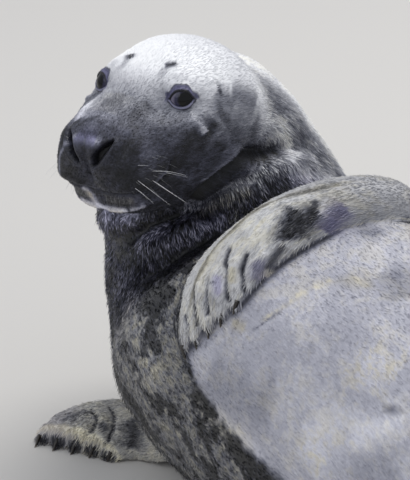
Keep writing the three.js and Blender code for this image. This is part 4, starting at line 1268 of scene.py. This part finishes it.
# the tufts are thin solid blades that lie along the body
tufts = {
    "thick": 0.6, "tilt": 0.16, "stray": 0.2, "seed": 5, "patch": 0.003,
    "most": 14800,  # tufts in a zone, so that its piece stays under 200,000 triangles
    "zones": {  # name: most tufts for each square metre, length, width, in millimetres
        "face": (150000, 3.6, 0.85), "crown": (130000, 4.8, 0.85), "neck": (240000, 11.0, 1.25),
        "throat": (130000, 8.5, 1.4),
        "chest": (72000, 8.0, 1.5), "belly": (48000, 6.5, 0.7), "rump": (22000, 9.0, 2.0),
        "leftFlipper": (150000, 4.6, 1.0), "rightFlipper": (143000, 5.0, 1.15), "hindFlippers": (75000, 5.5, 1.25),
    },
}


def bladeMesh(name, tips):  # a blade one unit long, wide and thick, closed, with one or more tips
    points = [(0, -0.5, -0.3), (0, 0, 0.3), (0, 0.5, -0.3), (0.5, -0.4, 0.35), (0.48, 0, 0.95), (0.5, 0.4, 0.35)]
    faces = [(0, 2, 1), (0, 1, 4, 3), (1, 2, 5, 4), (2, 0, 3, 5)]
    if len(tips) == 1:
        points.append((1, tips[0], 0.5))
        faces += [(3, 4, 6), (4, 5, 6), (5, 3, 6)]
    else:
        points += [(0.5, 0.02, 0.35), (1, tips[0], 0.7), (0.86, tips[1], 0.3)]
        faces = [(0, 2, 1), (0, 1, 4, 3), (1, 2, 5, 4), (2, 0, 3, 6, 5),
                 (3, 4, 7), (4, 6, 7), (6, 3, 7), (4, 5, 8), (5, 6, 8), (6, 4, 8)]
    mesh = makeMesh(name, points, faces, False)
    storeOn(mesh, "bladeAlong", [p[0] for p in points])
    storeOn(mesh, "bladeMap", [(p[0] - 0.5, p[1] * 0.9, 0) for p in points], "FLOAT_VECTOR")
    return addObject(name, mesh)


def tuftTree():
    tree = bpy.data.node_groups.new("coatTufts", "GeometryNodeTree")
    face = tree.interface
    face.new_socket("Geometry", in_out="INPUT", socket_type="NodeSocketGeometry")
    for name, kind, value in (("Zone", "NodeSocketString", ""), ("Density", "NodeSocketFloat", 1000.0),
                              ("Thickness", "NodeSocketFloat", 0.0006), ("Tilt", "NodeSocketFloat", 0.16),
                              ("Stray", "NodeSocketFloat", 0.2), ("Seed", "NodeSocketInt", 0)):
        face.new_socket(name, in_out="INPUT", socket_type=kind).default_value = value
    for name, kind in (("Blade", "NodeSocketObject"), ("Forked blade", "NodeSocketObject"),
                       ("Material", "NodeSocketMaterial")):
        face.new_socket(name, in_out="INPUT", socket_type=kind)
    face.new_socket("Geometry", in_out="OUTPUT", socket_type="NodeSocketGeometry")
    n = Nodes(tree)
    given = n.new("NodeGroupInput").outputs

    def named(name, kind="FLOAT"):
        return n.new("GeometryNodeInputNamedAttribute", {"Name": name}, data_type=kind).outputs[0]

    def chance(low, high, extra):
        return n.new("FunctionNodeRandomValue", {
            2: low, 3: high, "Seed": n.maths("ADD", given["Seed"], float(extra))}).outputs[1]

    def vectorMath(operation, a, b):
        return n.new("ShaderNodeVectorMath", {0: a, 1: b}, operation=operation).outputs[0]

    def store(geometry, name, value, kind, domain="POINT"):
        node = n.new("GeometryNodeStoreNamedAttribute", {"Geometry": geometry, "Name": name}, data_type=kind,
            domain=domain)
        n.tree.links.new(value, node.inputs["Value"])
        return node.outputs[0]

    spread = n.new("GeometryNodeDistributePointsOnFaces", {
        "Mesh": given["Geometry"], "Density": n.maths("MULTIPLY", named(given["Zone"]), given["Density"]),
        "Seed": given["Seed"]})
    points, normal = spread.outputs["Points"], spread.outputs["Normal"]
    points = store(points, "tuftTone", chance(0.0, 1.0, 7), "FLOAT")
    sway = n.new("FunctionNodeRandomValue", {0: (-1, -1, -1), 1: (1, 1, 1), "Seed": given["Seed"]},
                 data_type="FLOAT_VECTOR").outputs[0]
    ahead = vectorMath("ADD", named("lie", "FLOAT_VECTOR"), vectorMath("MULTIPLY", sway, n.new(
        "ShaderNodeCombineXYZ", {0: given["Stray"], 1: given["Stray"], 2: given["Stray"]}).outputs[0]))
    lifted = n.maths("MULTIPLY", n.maths("MULTIPLY", given["Tilt"], chance(0.3, 1.7, 3)), named("tuftTilt"))
    up = n.new("ShaderNodeVectorMath", {0: normal, "Scale": lifted}, operation="SCALE").outputs[0]
    ahead = vectorMath("ADD", ahead, up)
    turned = n.new("FunctionNodeAlignRotationToVector", {"Vector": ahead}, axis="X").outputs[0]
    turned = n.new("FunctionNodeAlignRotationToVector", {"Rotation": turned, "Vector": normal},
                   axis="Z", pivot_axis="X").outputs[0]
    long = n.maths("MULTIPLY", named("tuftLong"), chance(0.65, 1.3, 11))
    wide = n.maths("MULTIPLY", named("tuftWide"), chance(0.7, 1.25, 13))
    size = n.new("ShaderNodeCombineXYZ", {0: long, 1: wide, 2: given["Thickness"]}).outputs[0]
    blades = n.new("GeometryNodeJoinGeometry")
    for name in ("Forked blade", "Blade"):
        info = n.new("GeometryNodeObjectInfo", {"Object": given[name], "As Instance": True})
        n.tree.links.new(info.outputs["Geometry"], blades.inputs[0])
    pick = n.new("FunctionNodeRandomValue", {"Seed": given["Seed"]}, data_type="INT")
    pick.inputs[4].default_value, pick.inputs[5].default_value = 0, 1
    placed = n.new("GeometryNodeInstanceOnPoints", {
        "Points": points, "Instance": blades.outputs[0], "Pick Instance": True,
        "Instance Index": pick.outputs[2], "Rotation": turned, "Scale": size})
    real = n.new("GeometryNodeRealizeInstances", {"Geometry": placed.outputs[0]}).outputs[0]
    here = n.new("ShaderNodeSeparateXYZ", {0: n.new("GeometryNodeInputPosition").outputs[0]}).outputs
    raised = n.new("ShaderNodeCombineXYZ", {0: here[0], 1: here[1], 2: n.maths("MAXIMUM", here[2], n.maths(
        "MULTIPLY", n.maths("FRACT", n.maths("MULTIPLY", here[0], 977.0)), 0.0004))}).outputs[0]
    real = n.new("GeometryNodeSetPosition", {"Geometry": real, "Position": raised}).outputs[0]
    small = vectorMath("MULTIPLY", named("bladeMap", "FLOAT_VECTOR"), (tufts["patch"],) * 3)
    real = store(real, "OFBake", vectorMath("ADD", named("rootMap", "FLOAT_VECTOR"), small), "FLOAT2", "CORNER")
    done = n.new("GeometryNodeSetMaterial", {"Geometry": real, "Material": given["Material"]})
    tree.links.new(done.outputs[0], n.new("NodeGroupOutput").inputs[0])
    return tree


def setInputs(modifier, values):  # by each socket's own identifier
    for item in modifier.node_group.interface.items_tree:
        if item.item_type == "SOCKET" and item.in_out == "INPUT" and item.name in values:
            modifier[item.identifier] = values[item.name]


foreTips = left * smoothStep(0.86, 0.98, reachOut)
trailFringe = left * smoothStep(0.55, 0.9, lead) * smoothStep(0.15, 0.4, reachOut)
ridgeTips = right * smoothStep(0.88, 0.96, place["right_fore"][:, 0])
onHead = headShare * (away["head"] < outOfReach)
faceShare = onHead * smoothStep(160, 120, z + 0.3 * y)
neckShare = body * smoothStep(545, 505, s) * (1 - limbs)
frontShare = smoothStep(-30, -60, skinPoints[:, 0])
zoneShare = {
    "face": faceShare, "crown": onHead - faceShare,
    "neck": neckShare * (1 - frontShare), "throat": neckShare * frontShare, "belly": belly * (1 - limbs),
    "leftFlipper": reached["left_fore"], "rightFlipper": reached["right_fore"],
    "hindFlippers": np.maximum(np.maximum(reached["left_hind"], reached["right_hind"]), reached["tail"]),
}
used = np.clip(sum(zoneShare.values()), 0, 1)
zoneShare["chest"] = (1 - used) * smoothStep(960, 900, s)
zoneShare["rump"] = (1 - used) * smoothStep(900, 960, s)
furrows = paint([(path, 0.95, reach * 1.1) for path, height, reach in leftForeForms[:5]], "left_fore")
furrows = np.maximum(furrows, paint([(path, 0.7, reach * 0.8) for path, height, reach in rightForeForms[:2]],
    "right_fore"))
furrows = np.maximum(furrows, paint([(path, 0.95, reach * 0.6) for path, _, reach, _ in shadedCreases], "table"))
furrows = np.maximum(furrows, paint([(strawLine, 0.95, 3.4)], "table"))
bareShare = np.clip(1 - smoothStep(0.15, 0.6, np.maximum(bare, hollow)) - mouth - furrows, 0, 1)
tuftLong, tuftWide = np.zeros(len(s)), np.zeros(len(s))
total = sum(zoneShare.values()) + 1e-9
for zone, (density, long, wide) in tufts["zones"].items():
    tuftLong += zoneShare[zone] / total * long
    tuftWide += zoneShare[zone] / total * wide
noseNear = headShare * smoothStep(95, 35, z)
tuftLong *= 1 - 0.45 * noseNear - 0.35 * bell(lidGap, 10) + 0.9 * foreTips + 0.8 * trailFringe + 0.7 * ridgeTips
tuftWide *= 1 - 0.35 * noseNear - 0.3 * bell(lidGap, 10) + 0.3 * foreTips + 0.25 * trailFringe
tuftTilt = 1 - 0.75 * belly - 0.4 * left + 0.7 * neckDark + 0.8 * trailFringe + 1.2 * ridgeTips \
    + 0.3 * foreTips - 0.5 * noseNear - 0.62 * headShare * smoothStep(50, 80,
        crownWay) - 0.3 * nape * (1 - headShare)
furrowSide = paint([(path, 1.0, reach * 1.9) for path, _, reach, _ in shadedCreases], "table")
tuftLong *= (1 - 0.65 * furrowSide) * (1 - 0.4 * nape * (1 - headShare))
for name, values in (("tuftLong", tuftLong / 1000), ("tuftWide", tuftWide / 1000), ("tuftTilt", tuftTilt)):
    storeOn(skin.data, name, values)
storeOn(skin.data, "rootMap", np.concatenate([skinMap, np.zeros((len(s), 1))], 1), "FLOAT_VECTOR")
tree = tuftTree()
blade, forkedBlade = bladeMesh("blade", [0.08]), bladeMesh("forkedBlade", [-0.42, 0.5])
a1, b1, c1 = [skinShaped[skinTris[:, k]] for k in range(3)]
triArea = np.linalg.norm(np.cross(b1 - a1, c1 - a1), axis=-1) / 2e6
for k, (zone, (density, _, _)) in enumerate(tufts["zones"].items()):
    share = zoneShare[zone] * bareShare
    many = float((share[skinTris].mean(1) * triArea).sum() * density)
    if many > tufts["most"]:
        density, many = density * tufts["most"] / many, tufts["most"]
    base = addObject(zone + "Tufts", skin.data.copy())
    storeOn(base.data, "zoneShare", share)
    grow = base.modifiers.new("grow", "NODES")
    grow.node_group = tree
    setInputs(grow, {"Zone": "zoneShare", "Density": float(density), "Thickness": tufts["thick"] / 1000,
                     "Tilt": tufts["tilt"], "Stray": tufts["stray"], "Seed": tufts["seed"] + k,
                     "Blade": blade, "Forked blade": forkedBlade, "Material": tuftMaterial})
    mesh = applied(base, zone + "Tufts")
    for name in ("lie", "rootMap", "zoneShare", "tuftLong", "tuftWide", "tuftTilt", "bladeMap"):
        if name in mesh.attributes:
            mesh.attributes.remove(mesh.attributes[name])
    mesh.calc_loop_triangles()
    print("tufts", zone, int(many), len(mesh.loop_triangles))
    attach(base, "root")
for spare in (blade, forkedBlade):
    bpy.data.objects.remove(spare)
for name in ("tuftLong", "tuftWide", "tuftTilt", "rootMap"):
    skin.data.attributes.remove(skin.data.attributes[name])


eyeLook = {  # degrees from the eye's axis, and how far each eye looks to its outer corner
    "pupil": 27, "iris": 50, "bulge": 0.05, "gaze": {1: 0.3, -1: 0.05}, "rows": 40, "around": 64,
}


def eyeMaterial():
    material, n, shader = newMaterial("eyeBall", rough=0.2, coat=0.5, coatRough=0.03, specular=0.05)
    turned = n.attribute("fromAxis")
    rays = n.noise(n.scaled(n.attribute("eyeRays", "Vector"), (40, 40, 2.5)), 1.0, 3.0, 0.7)
    iris = n.mix(n.ramp(rays, 0.35, 0.65), linear(0.10, 0.10, 0.16), linear(0.26, 0.25, 0.35))
    white = n.mix(n.noise(n.attribute("eyeRays", "Vector"), 9.0), linear(0.38, 0.36, 0.42),
        linear(0.52, 0.50, 0.57))
    colour = n.mix(n.ramp(turned, eyeLook["iris"] - 12, eyeLook["iris"] + 2), iris, white)
    colour = n.mix(n.ramp(turned, eyeLook["pupil"] + 9, eyeLook["pupil"] - 2), colour, linear(0.012, 0.012, 0.016))
    n.tree.links.new(colour, shader.inputs["Base Color"])
    return material


def eyeBall(name, node, side):
    centre, axis, outer = eyeFrames[side]
    axis = unit(axis + eyeLook["gaze"][side] * outer)
    turned, sweep = np.meshgrid(np.linspace(0.01, np.pi - 0.01, eyeLook["rows"]),
                                np.linspace(0, 2 * np.pi, eyeLook["around"] + 1)[:-1], indexing="ij")
    third = unit(np.cross(axis, outer))
    second = np.cross(third, axis)
    direction = np.cos(turned)[..., None] * axis + np.sin(turned)[..., None] * (
        np.cos(sweep)[..., None] * second + np.sin(sweep)[..., None] * third)
    radius = (eyeForm["ball"] - 0.5) * (1 + eyeLook["bulge"] * bell(turned, math.radians(34)))
    points = centre + (direction * radius[..., None]) @ headAxes
    params = np.stack([np.degrees(turned), np.cos(sweep), np.sin(sweep)], -1)
    vertices, params, tris = loftMesh(points, params)
    mesh = makeMesh(name, toScene(vertices), tris)
    storeOn(mesh, "fromAxis", params[:, 0])
    storeOn(mesh, "eyeRays", np.stack([params[:, 1], params[:, 2], params[:, 0] / 90], -1), "FLOAT_VECTOR")
    faceOutwards(mesh)
    mesh.materials.append(ballMaterial)
    ball = addObject(name, mesh)
    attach(ball, "root")
    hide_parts(node)


ballMaterial = eyeMaterial()
eyeBall("eyeBallLeft", "eye_left", 1)
eyeBall("eyeBallRight", "eye_right", -1)
print("made the eyes")


clawForm = {
    "fore": {"length": 15, "radius": 3.6, "droop": 6, "inside": 6, "names": ("left_fore", "right_fore")},
    "hind": {"length": 9, "radius": 2.5, "droop": 2, "inside": 5, "names": ("left_hind", "right_hind")},
}


def clawMaterial():
    material, n, shader = newMaterial("clawHorn", rough=0.32, coat=0.25, coatRough=0.2)
    place = n.new("ShaderNodeTexCoord").outputs["Object"]
    grain = n.noise(place, 900.0, 4.0, 0.7)
    colour = n.mix(n.ramp(grain, 0.4, 0.62), linear(0.07, 0.06, 0.055), linear(0.22, 0.19, 0.16))
    colour = n.mix(n.ramp(n.attribute("clawAlong"), 0.6, 1.0), colour, linear(0.42, 0.38, 0.32))
    n.tree.links.new(colour, shader.inputs["Base Color"])
    bump = n.new("ShaderNodeBump", {"Strength": 0.4, "Distance": 0.0004, "Height": grain})
    n.tree.links.new(bump.outputs[0], shader.inputs["Normal"])
    return material


def addClaws(kind):
    form = clawForm[kind]
    points, params, faces, count = [], [], [], 0
    for name in form["names"]:
        at = flipperPlaces[name]
        for digit in range(flipperForm["digits"]):
            v = (digit + 0.5) / flipperForm["digits"] * 2 - 1
            root, behind = [at(np.array(u), np.array(v), np.array(0.62), 0.0) for u in (1.0, 0.93)]
            ahead = unit(root - behind)
            up = at(np.array(1.0), np.array(v), np.array(1.0), 0.0) - at(np.array(1.0), np.array(v),
                np.array(0.0), 0.0)
            up = unit(up - ahead * (up @ ahead))
            sideways = np.cross(ahead, up)
            t, turned = np.meshgrid(np.linspace(0, 1, 12), np.linspace(0, 2 * np.pi, 15)[:-1], indexing="ij")
            radius = form["radius"] * (1 - 0.92 * t ** 1.5)
            centre = root + ahead * (-form["inside"] + (form["length"] + form["inside"]) * t)[..., None] \
                - up * (form["droop"] * t * t)[..., None]
            centre[..., 2] = np.maximum(centre[..., 2], radius + 0.3)
            ring = sideways * (0.72 * radius * np.cos(turned))[..., None] \
                + up * (radius * np.sin(turned) * np.where(np.sin(turned) < 0, 0.6, 1))[..., None]
            ring[..., 2] = np.maximum(ring[..., 2], 0.25 - centre[..., 2])
            vertices, p, tris = loftMesh(centre + ring, np.stack([t, t, t], -1))
            points.append(vertices)
            params.append(p[:, 0])
            faces.append(tris + count)
            count += len(vertices)
    mesh = makeMesh(kind + "Claws", toScene(np.concatenate(points)), np.concatenate(faces))
    storeOn(mesh, "clawAlong", np.concatenate(params))
    faceOutwards(mesh)
    mesh.materials.append(hornMaterial)
    claws = addObject(kind + "Claws", mesh)
    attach(claws, "root")
    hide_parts(*[f"{name}_claw_{digit + 1}" for name in form["names"]
                        for digit in range(flipperForm["digits"])])


hornMaterial = clawMaterial()
addClaws("fore")
addClaws("hind")
print("made the claws")


whiskerForm = {
    "long": [  # the long ones: root and reach in the head's axes, sag as a share of the length, radius
        ((55, -13, 22), (15, -1, 12), 0.10, 0.26), ((65, -25, 43), (34, -7, 24), 0.22, 0.3),
        ((65, -34, 42), (37, -27, 16), 0.0, 0.42), ((58, -28, 22), (38, -31, 15), 0.03, 0.28),
        ((54, -37, 20), (24, -20, 9), 0.16, 0.3), ((70, -30, 56), (20, -12, 26), 0.05, 0.24)],
    "lip": [(14, -55, 19), (20, -56, 18), (26, -56, 18), (32, -55, 19), (39, -54, 21), (46, -53, 24)],
    "rows": 4, "columns": 5, "radius": 0.2, "beads": 5.5, "points": 18, "sides": 5, "seed": 3,
}


def addWhiskers():
    rng = np.random.default_rng(whiskerForm["seed"])
    shapedTree = BVHTree.FromPolygons(skinShaped.tolist(), skinTris.tolist())
    points, params, faces, count = [], [], [], 0

    def rooted(place, sunk=2.0):
        root, normal = shapedTree.find_nearest(Vector(fromHead(np.array(place, float))))[:2]
        return np.array(root) - sunk * np.array(normal), headAxes @ np.array(normal)

    def hair(root, direction, length, droop, radius, light=1.0):
        nonlocal count
        t = np.linspace(0, 1, whiskerForm["points"])
        line = root + direction * (length * t)[:, None] + np.array([0, 0, -1.0]) * (droop * length * t * t)[:, None]
        ahead = unit(np.gradient(line, axis=0))
        sideways = unit(np.cross(ahead, (0.1, 0.2, 1.0)))
        up = np.cross(sideways, ahead)
        thick = radius * (1 - 0.8 * t) * (1 + 0.16 * np.sin(t * length / whiskerForm["beads"] * 2 * np.pi))
        turned = np.linspace(0, 2 * np.pi, whiskerForm["sides"] + 1)[:-1]
        ring = line[:, None] + thick[:, None, None] * (np.cos(turned)[:, None] * sideways[:,
            None] + np.sin(turned)[:, None] * up[:, None])
        vertices, p, tris = loftMesh(ring, np.repeat(t[:, None, None], len(turned), 1).repeat(3, 2))
        points.append(vertices)
        params.append(np.stack([p[:, 0], np.full(len(p), light)], -1))
        faces.append(tris + count)
        count += len(vertices)

    for side in (1, -1):
        for row in range(whiskerForm["rows"]):
            for column in range(whiskerForm["columns"]):
                along = (column + 0.5 * (row % 2) + rng.uniform(-0.2, 0.2)) / whiskerForm["columns"]
                down = row / (whiskerForm["rows"] - 1)
                root, out = rooted([side * (52 + 14 * along), -8 - 32 * down, 12 + 52 * along])
                direction = unit(np.array([out[0] * 0.8 + side * 0.25, out[1] * 0.5 - 0.28 - 0.35 * down,
                                           0.35 + 0.75 * along]) + rng.normal(size=3) * 0.16)
                length = (8 + 16 * along) * (0.7 + 0.4 * down) * rng.uniform(0.8, 1.15)
                hair(root, direction @ headAxes, length, rng.uniform(0.05, 0.3), whiskerForm["radius"],
                    rng.uniform(0.1, 0.5))
        for place, reach, sag, radius in whiskerForm["long"]:
            reach = np.array(reach, float) * (side, 1, 1)
            long = np.linalg.norm(reach)
            end = reach + (0, sag * long, 0)
            hair(rooted(np.array(place, float) * (side, 1, 1))[0], end @ headAxes / long, long, sag, radius)
        for place in whiskerForm["lip"]:
            reach = np.array([side * 4.0, -12, -3]) + rng.normal(size=3) * 1.2
            hair(rooted(np.array(place, float) * (side, 1, 1), 1.0)[0], unit(reach) @ headAxes,
                rng.uniform(9, 14), 0.05, 0.2, 0.4)
        for k in range(4):
            root = rooted([side * (29 + 3 * k), 71, 126 + 3 * k], 1.5)[0]
            direction = unit(np.array([side * 0.35, 0.6, 0.7]) + rng.normal(size=3) * 0.15)
            hair(root, direction @ headAxes, rng.uniform(12, 22), 0.2, 0.22)
    mesh = makeMesh("whiskers", toScene(np.concatenate(points)), np.concatenate(faces))
    for k, name in enumerate(("whiskerAlong", "whiskerLight")):
        storeOn(mesh, name, np.concatenate(params)[:, k])
    faceOutwards(mesh)
    material, n, shader = newMaterial("whiskerHair", rough=0.35, coat=0.3, coatRough=0.2)
    colour = n.mix(n.ramp(n.attribute("whiskerAlong"), 0.0, 0.25), linear(0.62, 0.61, 0.60),
        linear(0.93, 0.93, 0.94))
    colour = n.mix(n.attribute("whiskerLight"), linear(0.25, 0.25, 0.24), colour)
    n.tree.links.new(colour, shader.inputs["Base Color"])
    mesh.materials.append(material)
    whiskers = addObject("whiskers", mesh)
    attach(whiskers, "root")


addWhiskers()
print("made the whiskers")
